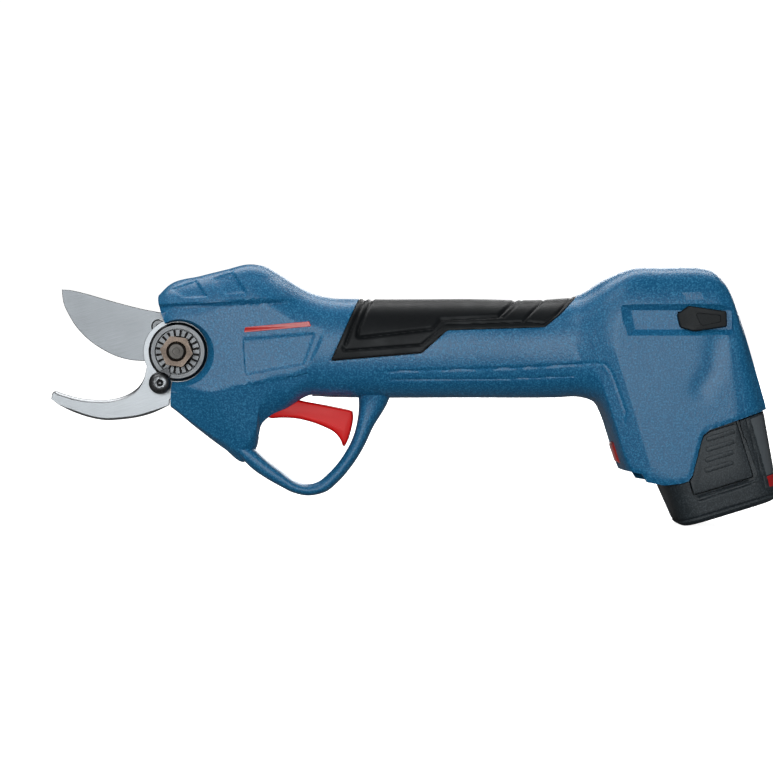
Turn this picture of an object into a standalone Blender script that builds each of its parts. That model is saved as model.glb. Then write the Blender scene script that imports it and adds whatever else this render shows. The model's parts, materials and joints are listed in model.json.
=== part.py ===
"""Battery electric pruner: a hooked fixed blade and a driven cutting blade on one pivot, a bevel and
planetary drive with a brushless motor in the handle, a trigger in a guard, and a slide-in battery.

The model is drawn from the blade pivot, which is (0, 0) in X and Z, with the blades towards -X,
the battery towards +X, +Z up and the split between the housing halves at Y = 0. Every piece hangs
from one frame empty, which is moved at the end so that the origin is at the bottom centre.
"""
import math

import bmesh
import bpy
from mathutils import Matrix, Vector

MM = 0.001
ROUND = 28            # sides of an ordinary round piece
GAP = 0.3 * MM        # between two faces that rest on each other

# Overall form of the housing
HANDLE_START = 82 * MM        # pivot to where the straight grip begins
HANDLE_LENGTH = 98 * MM
HANDLE_TOP = 24.4 * MM        # above the pivot
HANDLE_BOTTOM = -21.0 * MM
HANDLE_HALF_WIDTH = 19 * MM
HEAD_HALF_WIDTH = 19.3 * MM
WALL = 2.7 * MM
GRIP_DEPTH = 1.5 * MM         # thickness of the soft grip let into the handle
GUARD_HALF_WIDTH = 7.5 * MM

# Cutting head, in layers from the nut side (-Y) to the bolt head (+Y)
BOLT_RADIUS = 4.0 * MM
NUT_FLATS = 13.0 * MM
NUT_HEIGHT = 6.2 * MM
DISC_RADIUS = 13.4 * MM
DISC_THICKNESS = 2.4 * MM
LOCK_RING_RADIUS = 10.0 * MM
LOCK_RING_TEETH = 20
BLADE_EYE_RADIUS = 15.0 * MM
FIXED_BLADE_THICKNESS = 3.4 * MM
MOVING_BLADE_THICKNESS = 3.2 * MM
MOVING_BLADE_FACE = -1.2 * MM     # Y of the moving blade's back face
BUSH_WALL = 1.9 * MM
RECESS_RADIUS = 14.4 * MM         # round opening in the housing over the pivot
CUT_ANGLE = math.radians(47)

# Bevel drive
BEVEL_RATIO = 4
PINION_TEETH = 10
BEVEL_RADIUS = 24 * MM            # from the pivot to the teeth's outer end
BEVEL_FACE = 7.5 * MM             # length of a tooth
BEVEL_BACKLASH = 0.3 * MM
SECTOR_BELOW = math.radians(61)   # toothed part of the sector, below and above the drive axis
SECTOR_ABOVE = math.radians(14)

# Planetary gearbox
SUN_TEETH = 12
PLANET_TEETH = 15
RING_TEETH = 42
RING_RIM = 1.6 * MM
SPUR_BACKLASH = 0.22 * MM
PLANETS = 3
GEARBOX_START = 36 * MM
GEARBOX_LENGTH = 14 * MM
MOTOR_LENGTH = 50 * MM
SHAFT_RADIUS = 1.6 * MM

# Trigger
TRIGGER_PIVOT = (42 * MM, -26 * MM)
TRIGGER_HALF_WIDTH = 6.2 * MM
TRIGGER_PIN_RADIUS = 1.5 * MM
TRIGGER_PIN_REACH = 9.0 * MM

# Battery pack, in its own frame: U to the rear, W up its axis
BATTERY_TILT = math.radians(17)
BATTERY_FOOT = (70.9 * MM, -73.0 * MM)   # from the end of the handle and the pivot's height
BATTERY_BASE_HALF = (23.4 * MM, 22.0 * MM)
BATTERY_FLARE = 0.119
BATTERY_BASE_HEIGHT = 44 * MM
TOWER_HALF = 20.6 * MM
TOWER_TOP = 79 * MM
CELL_RADIUS = 9.0 * MM
CELL_LENGTH = 65 * MM
BATTERY_TRAVEL = 60 * MM
BUTTON_TRAVEL = 1.2 * MM

# Power slider
SLIDER_TRAVEL = 8 * MM
SLIDER_LENGTH = 22.6 * MM
SLIDER_HEIGHT = 12.0 * MM
RECESS_DEPTH = 3.4 * MM

# Sizes that follow from the ones above
REAR_X = HANDLE_START + HANDLE_LENGTH
REAR_HALF_WIDTH = TOWER_HALF + WALL + 2.9 * MM
DRIVE_RADIUS = min(HANDLE_HALF_WIDTH, -HANDLE_BOTTOM - 2 * MM) - WALL - 0.8 * MM    # gearbox and motor fit the handle's smaller half size
FIXED_BLADE_BACK = MOVING_BLADE_FACE - MOVING_BLADE_THICKNESS - GAP
FIXED_BLADE_FRONT = FIXED_BLADE_BACK - FIXED_BLADE_THICKNESS
DISC_BACK = FIXED_BLADE_FRONT - GAP
DISC_FRONT = DISC_BACK - DISC_THICKNESS
NUT_FRONT = DISC_FRONT - 0.5 * MM - NUT_HEIGHT
BUSH_RADIUS = BOLT_RADIUS + BUSH_WALL
HUB_RADIUS = BUSH_RADIUS + 5.4 * MM
PINION_RADIUS = BEVEL_RADIUS / BEVEL_RATIO
BEVEL_MODULE = 2 * PINION_RADIUS / PINION_TEETH
HUB_FACE = MOVING_BLADE_FACE + GAP
HUB_BACK = PINION_RADIUS + 1.5 * BEVEL_MODULE + 1.9 * MM
FRAME_FRONT = HUB_BACK + GAP
FRAME_BACK = FRAME_FRONT + 3.0 * MM
SPUR_MODULE = 2 * (DRIVE_RADIUS - RING_RIM) / RING_TEETH
ORBIT = SPUR_MODULE * (SUN_TEETH + PLANET_TEETH) / 2
GEARBOX_END = GEARBOX_START + GEARBOX_LENGTH
MOTOR_START = GEARBOX_END + 3.0 * MM
MOTOR_END = MOTOR_START + MOTOR_LENGTH
CUT_LEVEL = (BATTERY_FOOT[0] + REAR_X, BATTERY_FOOT[1])

FINISHES = {
    "body_blue": ((0.012, 0.115, 0.245), 0.42, 0.0),
    "grip_black": ((0.010, 0.011, 0.012), 0.62, 0.0),
    "trigger_red": ((0.62, 0.012, 0.010), 0.38, 0.0),
    "blade_steel": ((0.52, 0.54, 0.56), 0.34, 1.0),
    "dark_steel": ((0.09, 0.09, 0.095), 0.38, 1.0),
    "nut_bronze": ((0.20, 0.16, 0.13), 0.42, 1.0),
    "battery_black": ((0.030, 0.034, 0.037), 0.55, 0.0),
    "aluminium": ((0.62, 0.63, 0.65), 0.40, 1.0),
    "gear_steel": ((0.36, 0.37, 0.38), 0.32, 1.0),
    "bronze": ((0.48, 0.30, 0.12), 0.35, 1.0),
    "copper": ((0.60, 0.25, 0.10), 0.35, 1.0),
    "board_green": ((0.02, 0.17, 0.07), 0.45, 0.0),
    "wire_red": ((0.55, 0.02, 0.02), 0.50, 0.0),
    "wire_black": ((0.02, 0.02, 0.02), 0.50, 0.0),
    "cell_wrap": ((0.05, 0.22, 0.30), 0.35, 0.0),
    "lens_smoke": ((0.05, 0.02, 0.02), 0.15, 0.0),
}


def clear_scene():
    """Removes whatever the scene holds, so that the model starts empty."""
    for obj in list(bpy.data.objects):
        bpy.data.objects.remove(obj)


def new_collection(name):
    found = bpy.data.collections.new(name)
    bpy.context.scene.collection.children.link(found)
    return found


clear_scene()
PARTS = new_collection("electric_pruner")
CUTTERS = new_collection("cutters")


def new_empty(name, location=(0, 0, 0), parent=None):
    empty = bpy.data.objects.new(name, None)
    empty.empty_display_size = 10 * MM
    PARTS.objects.link(empty)
    empty.parent = parent
    empty.location = location
    return empty


FRAME = new_empty("pruner_frame")


def finish_material(name):
    """The named finish as a Principled material, made once."""
    found = bpy.data.materials.get(name)
    if found:
        return found
    colour, roughness, metallic = FINISHES[name]
    made = bpy.data.materials.new(name)
    made.use_nodes = True
    shader = made.node_tree.nodes["Principled BSDF"]
    shader.inputs["Base Color"].default_value = (*colour, 1)
    shader.inputs["Roughness"].default_value = roughness
    shader.inputs["Metallic"].default_value = metallic
    made.diffuse_color = (*colour, 1)
    return made


def add_object(name, data, finish):
    """An object for this mesh or curve. With no finish it is a cutter, hidden from renders."""
    obj = bpy.data.objects.new(name, data)
    if finish:
        PARTS.objects.link(obj)
        data.materials.append(finish_material(finish))
    else:
        CUTTERS.objects.link(obj)
        obj.hide_render = True
        obj.display_type = "WIRE"
    obj.parent = FRAME
    return obj


def mesh_object(name, bm, finish, smooth=35):
    """Turns a bmesh into an object, its faces outwards and its round sides shaded smooth."""
    bmesh.ops.recalc_face_normals(bm, faces=bm.faces)
    mesh = bpy.data.meshes.new(name)
    bm.to_mesh(mesh)
    bm.free()
    mesh.shade_smooth()
    mesh.set_sharp_from_angle(angle=math.radians(smooth))
    return add_object(name, mesh, finish)


def solid_of(obj):
    """The object as the viewport evaluates it, made a plain welded mesh that can be cut."""
    bpy.context.view_layer.update()
    graph = bpy.context.evaluated_depsgraph_get()
    mesh = bpy.data.meshes.new_from_object(obj.evaluated_get(graph))
    bm = bmesh.new()
    bm.from_mesh(mesh)
    bmesh.ops.remove_doubles(bm, verts=bm.verts, dist=0.01 * MM)
    bmesh.ops.recalc_face_normals(bm, faces=bm.faces)
    bm.to_mesh(mesh)
    bm.free()
    name, finish = obj.name, obj.data.materials[0].name if obj.data.materials else None
    world = obj.matrix_world.copy()
    bpy.data.objects.remove(obj)
    mesh.materials.clear()
    made = add_object(name, mesh, finish)
    made.matrix_world = world
    return made


def boolean(obj, other, operation):
    modifier = obj.modifiers.new(f"{operation.lower()} {other.name}", "BOOLEAN")
    modifier.operation = operation
    modifier.object = other
    modifier.solver = "EXACT"


def cut(obj, *cutters):
    for cutter in cutters:
        boolean(obj, cutter, "DIFFERENCE")


def cut_together(obj, cutters):
    """Cuts several overlapping cutters away at once, gathered in a collection."""
    group = bpy.data.collections.new(f"{obj.name}_cutters")
    CUTTERS.children.link(group)
    for cutter in cutters:
        group.objects.link(cutter)
    modifier = obj.modifiers.new("cut together", "BOOLEAN")
    modifier.operation = "DIFFERENCE"
    modifier.operand_type = "COLLECTION"
    modifier.collection = group
    modifier.solver = "EXACT"


def join(obj, *others):
    for other in others:
        boolean(obj, other, "UNION")


def keep_common(obj, other):
    boolean(obj, other, "INTERSECT")


def hang(parent, *objects):
    """Parents objects to a joint's empty without moving them, so that they turn with it."""
    bpy.context.view_layer.update()
    for obj in objects:
        world = obj.matrix_world.copy()
        obj.parent = parent
        obj.matrix_world = world


# ------------------------------------------------------------------ shapes


def box(name, low, high, finish=None):
    """A block between two corners."""
    bm = bmesh.new()
    bmesh.ops.create_cube(bm, size=1)
    low, high = Vector(low), Vector(high)
    size = high - low
    bmesh.ops.transform(bm, matrix=Matrix.Translation((low + high) / 2) @ Matrix.Diagonal((*size, 1)),
                        verts=bm.verts)
    return mesh_object(name, bm, finish)


def rod(name, start, end, radius, finish=None, end_radius=None, sides=ROUND):
    """A cylinder or a cone frustum from start to end."""
    start, end = Vector(start), Vector(end)
    along = end - start
    bm = bmesh.new()
    bmesh.ops.create_cone(bm, cap_ends=True, segments=sides, depth=along.length, radius1=radius,
                          radius2=radius if end_radius is None else end_radius)
    turn = along.to_track_quat("Z", "Y").to_matrix().to_4x4()
    bmesh.ops.transform(bm, matrix=Matrix.Translation((start + end) / 2) @ turn, verts=bm.verts)
    return mesh_object(name, bm, finish)


def turned(name, profile, start, direction, finish=None, sides=ROUND):
    """A closed profile of (radius, height) points, which runs down its outer side, screwed round
    the line that leaves start in the given direction."""
    bm = bmesh.new()
    verts = [bm.verts.new((radius, 0, height)) for radius, height in profile]
    for first, second in zip(verts, verts[1:] + verts[:1]):
        bm.edges.new((first, second))
    mesh = bpy.data.meshes.new(name)
    bm.to_mesh(mesh)
    bm.free()
    obj = add_object(name, mesh, finish)
    screw = obj.modifiers.new("turn", "SCREW")
    screw.steps = screw.render_steps = sides
    screw.use_merge_vertices = True
    screw.merge_threshold = 0.01 * MM
    if direction == (0, 1, 0):
        turn = Matrix.Rotation(math.radians(-90), 4, "X")
    elif direction == (0, -1, 0):
        turn = Matrix.Rotation(math.radians(90), 4, "X")
    else:
        turn = Matrix.Rotation(math.radians(90), 4, "Y")
    obj.matrix_world = Matrix.Translation(start) @ turn
    return obj


def ring_profile(inner, outer, low, high):
    """A rectangular ring section for turned(), down its outer side."""
    return [(outer, high), (outer, low), (inner, low), (inner, high)]


def loft(name, rings, finish=None, smooth=35):
    """A closed skin over rings that all have the same number of points."""
    bm = bmesh.new()
    rows = [[bm.verts.new(point) for point in ring] for ring in rings]
    count = len(rows[0])
    for row, after in zip(rows, rows[1:]):
        for i in range(count):
            j = (i + 1) % count
            bm.faces.new((row[i], row[j], after[j], after[i]))
    bm.faces.new(rows[0])
    bm.faces.new(rows[-1])
    return mesh_object(name, bm, finish, smooth)


def flat_curve(name, loops, half_depth, finish):
    """A 2D curve of closed loops, the inner ones holes, extruded both ways along its local Z."""
    curve = bpy.data.curves.new(name, "CURVE")
    curve.dimensions = "2D"
    curve.fill_mode = "BOTH"
    curve.extrude = half_depth
    for points in loops:
        spline = curve.splines.new("POLY")
        spline.points.add(len(points) - 1)
        for target, (u, v) in zip(spline.points, points):
            target.co = (u, v, 0, 1)
        spline.use_cyclic_u = True
    return add_object(name, curve, finish)


ACROSS = Matrix(((1, 0, 0), (0, 0, -1), (0, 1, 0))).to_4x4()    # a curve's plane onto XZ
ALONG = Matrix(((0, 0, 1), (1, 0, 0), (0, 1, 0))).to_4x4()      # a curve's plane onto YZ


def side_plate(name, loops, y_low, y_high, finish=None):
    """A flat piece with its outline in X and Z, between two Y faces."""
    obj = flat_curve(name, loops, (y_high - y_low) / 2, finish)
    obj.matrix_world = Matrix.Translation((0, (y_low + y_high) / 2, 0)) @ ACROSS
    return obj


def end_plate(name, loops, x_low, x_high, finish=None, centre=(0, 0)):
    """A flat piece with its outline in Y and Z about a centre, between two X faces."""
    obj = flat_curve(name, loops, (x_high - x_low) / 2, finish)
    obj.matrix_world = Matrix.Translation(((x_low + x_high) / 2, *centre)) @ ALONG
    return obj


def circle(radius, centre=(0, 0), sides=ROUND, phase=0.0):
    return [(centre[0] + radius * math.cos(phase + math.tau * i / sides),
             centre[1] + radius * math.sin(phase + math.tau * i / sides)) for i in range(sides)]


def arc(centre, radius, start, end, steps):
    """Points on an arc, both ends included, angles in degrees."""
    angles = [math.radians(start + (end - start) * i / steps) for i in range(steps + 1)]
    return [(centre[0] + radius * math.cos(a), centre[1] + radius * math.sin(a)) for a in angles]


def in_mm(points):
    return [tuple(value * MM for value in point) for point in points]


def smooth_rows(rows, step):
    """Rows of numbers, with more rows blended smoothly between them about a step apart.
    The distance between rows is that of their first two numbers."""
    places = [0.0]
    for row, after in zip(rows, rows[1:]):
        places.append(places[-1] + math.dist(row[:2], after[:2]) / 2 + math.dist(row[2:4], after[2:4]) / 2)

    def slope(i, k):
        if i in (0, len(rows) - 1):
            j = min(i, len(rows) - 2)
            return (rows[j + 1][k] - rows[j][k]) / (places[j + 1] - places[j])
        before, after = places[i] - places[i - 1], places[i + 1] - places[i]
        left = (rows[i][k] - rows[i - 1][k]) / before
        right = (rows[i + 1][k] - rows[i][k]) / after
        return (left * after + right * before) / (before + after)

    made = []
    for i in range(len(rows) - 1):
        span = places[i + 1] - places[i]
        steps = max(1, round(span / step))
        for n in range(steps):
            t = n / steps
            blend = (2 * t**3 - 3 * t**2 + 1, t**3 - 2 * t**2 + t, 3 * t**2 - 2 * t**3, t**3 - t**2)
            made.append([
                blend[0] * rows[i][k] + blend[1] * span * slope(i, k)
                + blend[2] * rows[i + 1][k] + blend[3] * span * slope(i + 1, k)
                for k in range(len(rows[0]))
            ])
    return made + [list(rows[-1])]


def squared(angle, roundness):
    """(across, along) of a superellipse at an angle from its lower end, each from -1 to 1."""
    s, c = math.sin(angle), math.cos(angle)
    across = math.copysign(abs(s) ** (2 / roundness), s)
    return across, -math.copysign(abs(c) ** (2 / roundness), c)


def slice_ring(row, sides, inset=0.0):
    """A ring of points round one slice of the body. A row is the slice's lower point (x, z), its
    upper point (x, z), its half width, and how square it is above and below."""
    low, high = Vector((row[0], 0, row[1])), Vector((row[2], 0, row[3]))
    centre, reach = (low + high) / 2, (high - low) / 2
    reach = reach * (1 - inset / reach.length)
    width = row[4] - inset
    ring = []
    for i in range(sides):
        angle = math.tau * i / sides
        across, along = squared(angle, row[5] if math.cos(angle) < 0 else row[6])
        ring.append(centre + reach * along + Vector((0, width * across, 0)))
    return ring


# ------------------------------------------------------------------ housing


def body_rows():
    """The slices of the housing from the nose to the rear wall, as slice_ring reads them."""
    h = HEAD_HALF_WIDTH
    head = [
        (-9.2 * MM, -22 * MM, -9.2 * MM, 26.2 * MM, h - 5.2 * MM, 2.6, 4.5),
        (-4 * MM, -25.1 * MM, -4.6 * MM, 30.8 * MM, h - 3.6 * MM, 2.6, 4.5),
        (8 * MM, -35 * MM, 10 * MM, 35 * MM, h - 2.2 * MM, 2.7, 3.0),
        (20 * MM, -44.2 * MM, 22 * MM, 38 * MM, h - 1.0 * MM, 2.7, 2.1),
        (30 * MM, -50.5 * MM, 31 * MM, 40.2 * MM, h - 0.5 * MM, 2.7, 1.7),
        (35.2 * MM, -44 * MM, 36 * MM, 40 * MM, h, 2.6, 1.8),
        (37 * MM, -36.5 * MM, 40.5 * MM, 38.8 * MM, h, 2.5, 1.9),
        (42.5 * MM, -31 * MM, 47 * MM, 35 * MM, h, 2.4, 2.0),
        (49.5 * MM, -27 * MM, 54.3 * MM, 30.4 * MM, h, 2.3, 2.2),
        (59 * MM, -20.8 * MM, 61.6 * MM, 26.7 * MM, h, 2.3, 2.5),
        (70 * MM, -20.8 * MM, 70 * MM, 24.8 * MM, h, 2.3, 2.5),
    ]
    w = HANDLE_HALF_WIDTH
    handle = [
        (HANDLE_START, HANDLE_BOTTOM, HANDLE_START, HANDLE_TOP, w, 2.3, 2.5),
        (HANDLE_START + HANDLE_LENGTH / 2, HANDLE_BOTTOM, HANDLE_START + HANDLE_LENGTH / 2, HANDLE_TOP, w, 2.3, 2.5),
        (REAR_X - 8 * MM, HANDLE_BOTTOM, REAR_X - 8 * MM, HANDLE_TOP, w, 2.3, 2.5),
    ]
    r = REAR_HALF_WIDTH
    rear = [
        (4 * MM, -20.8 * MM, 1 * MM, 25.5 * MM, w + (r - w) * 0.20, 2.5, 2.7),
        (10.5 * MM, -23 * MM, 7 * MM, 28.2 * MM, w + (r - w) * 0.48, 2.9, 3.2),
        (14.3 * MM, -29 * MM, 14 * MM, 32.7 * MM, w + (r - w) * 0.75, 3.4, 3.9),
        (17.5 * MM, -38 * MM, 21.5 * MM, 36.3 * MM, w + (r - w) * 0.92, 3.9, 4.4),
        (22 * MM, -52 * MM, 28 * MM, 38.2 * MM, r - 0.1 * MM, 4.2, 4.8),
        (31 * MM, -68 * MM, 40 * MM, 38.3 * MM, r, 4.4, 5.0),
        (56 * MM, -74 * MM, 58 * MM, 38.2 * MM, r, 4.4, 5.0),
        (76 * MM, -54 * MM, 65.5 * MM, 35 * MM, r - 1 * MM, 4.4, 5.0),
        (84.5 * MM, -42 * MM, 70 * MM, 29 * MM, r - 3.2 * MM, 4.4, 5.0),
        (89.5 * MM, -36 * MM, 72.6 * MM, 22.5 * MM, r - 7.5 * MM, 4.0, 4.4),
    ]
    return head + handle + [(REAR_X + row[0], row[1], REAR_X + row[2], *row[3:]) for row in rear]


def body_solid(name, step, sides, inset=0.0, first=0, last=None, finish=None):
    rows = smooth_rows(body_rows()[first:last], step)
    return loft(name, [slice_ring(row, sides, inset) for row in rows], finish)


def guard_solid(name):
    """The finger guard: slices between the loop's inner and outer edges."""
    r = GUARD_HALF_WIDTH
    edges = [
        (27, -40, 26, -46, r), (34.5, -44.5, 33, -53.4, r), (40, -49.4, 39.6, -58, r), (46.9, -54.7, 46.9, -62.1, r),
        (53, -59.2, 52.6, -64.8, r), (58, -60.8, 59, -66, r), (63.6, -59.6, 66.8, -64.4, r),
        (69.3, -54.8, 72.7, -59.8, r), (75.6, -46.8, 80, -51.1, r), (79.9, -38.2, 85, -42.8, r),
        (82, -28.4, 89.2, -34, r), (82, -20.4, 95, -24.4, r), (80, -14, 97, -16, r * 0.8),
    ]
    rows = [(*(v * MM for v in edge[:4]), edge[4], 2.6, 2.6) for edge in edges]
    return loft(name, [slice_ring(row, 12) for row in smooth_rows(rows, 6 * MM)])


def socket_edge():
    """The housing's lower edge round the battery, seen from the side, front to rear."""
    edge = in_mm([(20, -53.9), (23, -53.9), (29.8, -55.2), (32.1, -58.9), (39.9, -60.3), (47.2, -59.4),
                  (50.6, -58.2), (52.3, -55.6), (56.1, -40.6), (57.2, -37.6), (59.8, -35.4), (92, -24.2)])
    return [(REAR_X + x, z) for x, z in edge]


def below_socket_edge(name, drop=0.0):
    """Everything under the housing's lower edge, drop further down the battery's axis."""
    shift = Vector((math.sin(BATTERY_TILT), -math.cos(BATTERY_TILT))) * drop
    edge = [(x + shift[0], z + shift[1]) for x, z in socket_edge()]
    deep = -0.13
    outline = edge + [(edge[-1][0], deep), (edge[0][0] - 12 * MM, deep), (edge[0][0] - 12 * MM, edge[0][1])]
    return solid_of(side_plate(name, [outline], -60 * MM, 60 * MM))


def grip_outline():
    """The soft grip's edge, seen from the side: front bottom, rear bottom steps, then over the top."""
    top = HANDLE_TOP + 12 * MM
    front, rear = HANDLE_START, REAR_X
    return [
        (front - 12.1 * MM, -4.3 * MM), (front + 29 * MM, -0.8 * MM), (front + 40.5 * MM, 9.6 * MM),
        (rear - 13.5 * MM, 11.0 * MM), (rear - 6.5 * MM, 16.6 * MM), (rear + 12 * MM, top), (front + 6 * MM, top),
    ]


def widened(outline, by):
    """The outline moved outwards by a distance, each corner along its own bisector."""
    made = []
    for before, here, after in zip(outline[-1:] + outline[:-1], outline, outline[1:] + outline[:1]):
        first = (Vector(here) - Vector(before)).normalized()
        second = (Vector(after) - Vector(here)).normalized()
        normal = Vector((first.y + second.y, -first.x - second.x)).normalized()
        made.append(tuple(Vector(here) + normal * by / max(0.3, normal.dot(Vector((first.y, -first.x))))))
    return made


def screw_places():
    """(x, z, half reach) of the housing screws: each boss reaches that far to either side."""
    return [
        (20 * MM, 31 * MM, 9.5 * MM), (16 * MM, -33.5 * MM, 6.5 * MM), (59 * MM, -63.3 * MM, 6.4 * MM),
        (MOTOR_END + 18 * MM, HANDLE_BOTTOM + 6.6 * MM, 13 * MM), (REAR_X + 30 * MM, 31 * MM, 18 * MM),
    ]


BOSS_RADIUS = 3.4 * MM
SCREW_RADIUS = 1.3 * MM
SCREW_HEAD_RADIUS = 2.4 * MM
RIB = 2.2 * MM


def body_cavity():
    """The space inside the housing, less the screw bosses and the ribs that cradle the drive."""
    cavity = body_solid("cavity", 9 * MM, 16, inset=WALL, first=1, last=-1)
    bosses = [rod(f"boss_{i + 1}", (x, -30 * MM, z), (x, 30 * MM, z), BOSS_RADIUS, sides=16)
              for i, (x, z, reach) in enumerate(screw_places()) if i != 2]
    ribs = [box(f"rib_{i + 1}", (x, -30 * MM, -40 * MM), (x + RIB, 30 * MM, 50 * MM))
            for i, x in enumerate((GEARBOX_START + 4.35 * MM, MOTOR_START + 8.35 * MM, MOTOR_END - 8.35 * MM))]
    cut_together(cavity, bosses + ribs)
    return solid_of(cavity)


def slider_frame():
    """The middle of the power slider at rest: X and Z, and the Y of the recess's floor."""
    return REAR_X + 56.5 * MM, 14.6 * MM, -(REAR_HALF_WIDTH - RECESS_DEPTH)


def slider_cutters():
    """The finger recess in front of the slider, with sloping sides, and the slider's slot."""
    x, z, floor = slider_frame()
    front, rear = x - 38 * MM, x + SLIDER_LENGTH / 2 + 0.6 * MM
    half = SLIDER_HEIGHT / 2 + 0.5 * MM

    def ring(y, spread):
        return [(front - spread, y, z - half - spread), (rear, y, z - half - spread),
                (rear, y, z + half + spread), (front - spread, y, z + half + spread)]

    recess = loft("slider_recess", [ring(floor, 0), ring(floor - RECESS_DEPTH - 2 * MM, 3.2 * MM)])
    slot_half = 3.0 * MM
    slot = box("slider_slot", (x - 6 * MM - SLIDER_TRAVEL, floor - 1 * MM, z - slot_half - GAP),
               (x + 6 * MM, floor + WALL + 2 * MM, z + slot_half + GAP))
    return [recess, slot]


def shared_cutters():
    """What is cut from both housing halves."""
    nose = in_mm([(-30, 26.2), (-9.6, 26.2), (-7.9, 18.9), (-5.6, 13.2), (-2.2, -14.1), (-3.2, -21.5),
                  (-3.6, -26.4), (-3.9, -60), (-30, -60)])
    mouth = solid_of(side_plate("mouth", [nose], -40 * MM, 40 * MM))
    eye = rod("pivot_opening", (0, -40 * MM, 0), (0, 40 * MM, 0), RECESS_RADIUS, sides=40)
    near = -DISC_FRONT - 0.6 * MM
    flare = [rod(f"pivot_flare_{side}", (0, sign * near, 0), (0, sign * 26 * MM, 0),
                 RECESS_RADIUS - 1 * MM, end_radius=RECESS_RADIUS + 11.6 * MM, sides=40)
             for side, sign in (("left", -1), ("right", 1))]
    blade_slot = rod("blade_slot", (0, FIXED_BLADE_FRONT - 0.5 * MM, 0), (0, HUB_FACE + 3.2 * MM, 0), 21.4 * MM, sides=36)
    drive = rod("drive_bore", (20 * MM, 0, 0), (MOTOR_END + 4 * MM, 0, 0), DRIVE_RADIUS + GAP, sides=32)
    x, z = TRIGGER_PIVOT
    slot = TRIGGER_HALF_WIDTH + 0.8 * MM
    mouth_of_trigger = box("trigger_mouth", (x - 9 * MM, -slot, z - 13 * MM), (x + 19 * MM, slot, z + 7.5 * MM))
    pin = rod("trigger_pin_hole", (x, -TRIGGER_PIN_REACH - GAP, z), (x, TRIGGER_PIN_REACH + GAP, z), TRIGGER_PIN_RADIUS + 0.1 * MM, sides=16)
    window = tilted_box("window_pocket", window_place(), (3.13 * MM, 8.34 * MM, 5.37 * MM))
    return [below_socket_edge("socket_cut"), window, mouth, eye, blade_slot, *flare, drive, mouth_of_trigger, pin]


def window_place():
    """The middle of the status window on the rear block's front wall, and its lean."""
    return Vector((REAR_X + 21.9 * MM, 0, -45.5 * MM)), math.radians(19)


def tilted_box(name, place, half, finish=None):
    """A block about a middle point, leaning back from the upright by an angle."""
    centre, lean = place
    obj = box(name, [-v for v in half], half, finish)
    obj.matrix_world = Matrix.Translation(centre) @ Matrix.Rotation(-lean, 4, "Y")
    return obj


def build_housing():
    cavity = body_cavity()
    shared = shared_cutters()
    pocket_shape = solid_of(side_plate("grip_pocket", [widened(grip_outline(), GAP)], -50 * MM, 50 * MM))
    cut(pocket_shape, body_solid("grip_floor", 8 * MM, 28, inset=GRIP_DEPTH + GAP))
    screws = []
    for i, (x, z, reach) in enumerate(screw_places()):
        hole, sink = SCREW_RADIUS + 0.2 * MM, SCREW_HEAD_RADIUS + 0.4 * MM
        screws.append(solid_of(turned(f"screw_hole_{i + 1}", [
            (0, reach + 30 * MM), (sink, reach + 30 * MM), (sink, reach - 3 * MM), (hole, reach - 3 * MM),
            (hole, -reach + 2 * MM), (0, -reach + 2 * MM)], (x, 0, z), (0, 1, 0), sides=12)))
    for side, sign in (("left", -1), ("right", 1)):
        shell = body_solid(f"housing_{side}", 8 * MM, 28, finish="body_blue")
        across = sorted((-sign * 60 * MM, sign * GAP / 2))
        split = box(f"split_{side}", (-60 * MM, across[0], -0.15), (0.4, across[1], 0.1))
        join(shell, guard_solid(f"guard_{side}"))
        cut_together(shell, [cavity, *shared, pocket_shape, *screws, split] + (slider_cutters() if sign < 0 else []))
        grip = body_solid(f"grip_{side}", 8 * MM, 28, finish="grip_black")
        grip_prism = solid_of(side_plate(f"grip_prism_{side}", [grip_outline()], -50 * MM, 50 * MM))
        keep_common(grip, grip_prism)
        cut(grip, body_solid(f"grip_core_{side}", 8 * MM, 28, inset=GRIP_DEPTH), split)
    for i, (x, z, reach) in enumerate(screw_places()):
        head = reach - 3 * MM + GAP
        turned(f"housing_screw_{i + 1}", [
            (SCREW_HEAD_RADIUS, 2 * MM), (SCREW_HEAD_RADIUS, 0), (SCREW_RADIUS, 0), (SCREW_RADIUS, -(head + reach) + 5 * MM),
            (0, -(head + reach) + 5 * MM), (0, 0.8 * MM), (1.1 * MM, 0.8 * MM), (1.1 * MM, 2 * MM),
        ], (x, head, z), (0, 1, 0), "dark_steel", sides=12)


# ------------------------------------------------------------------ cutting head


def fixed_blade_outline():
    """The hooked blade, from its point along the inner edge, round the eye and back along the tail."""
    inner = in_mm([(-58.2, -21.4), (-57.6, -18.6), (-56.4, -17.9), (-52.4, -19.2), (-45.5, -21.1), (-38, -21.9),
                   (-31, -21.7), (-25, -20.2), (-20, -17.5), (-16.8, -14), (-15.3, -10.5)])
    eye = arc((-1.0 * MM, 0), BLADE_EYE_RADIUS, 206, -48, 22)
    tail = in_mm([(10.5, -15), (9.2, -22.3), (-4.0, -21.7), (-4.3, -24.4), (-12, -28), (-19.3, -30), (-27, -31),
                  (-34, -31.2), (-41.4, -29.8), (-48.8, -27.2), (-54.5, -24.3)])
    return inner + eye + tail


def moving_blade_outline():
    """The cutting blade, from its point along the convex edge, round the eye and back over the top."""
    edge = in_mm([(-53.8, 28.6), (-53.0, 22.5), (-51.0, 17.8), (-47.8, 12.4), (-44.0, 7.9), (-39.5, 4.0),
                  (-34.0, 0.5), (-28.5, -2.1), (-22.5, -3.7), (-17.5, -4.1), (-12.9, -4.2)])
    eye = arc((0, 0), BLADE_EYE_RADIUS - 1.4 * MM, 198, 442, 18)
    back = in_mm([(-3.0, 16.6), (-8.0, 18.0), (-16, 19.5), (-25, 21.7), (-34, 24.2), (-43, 26.8), (-50, 28.4)])
    return edge + eye + back


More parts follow.
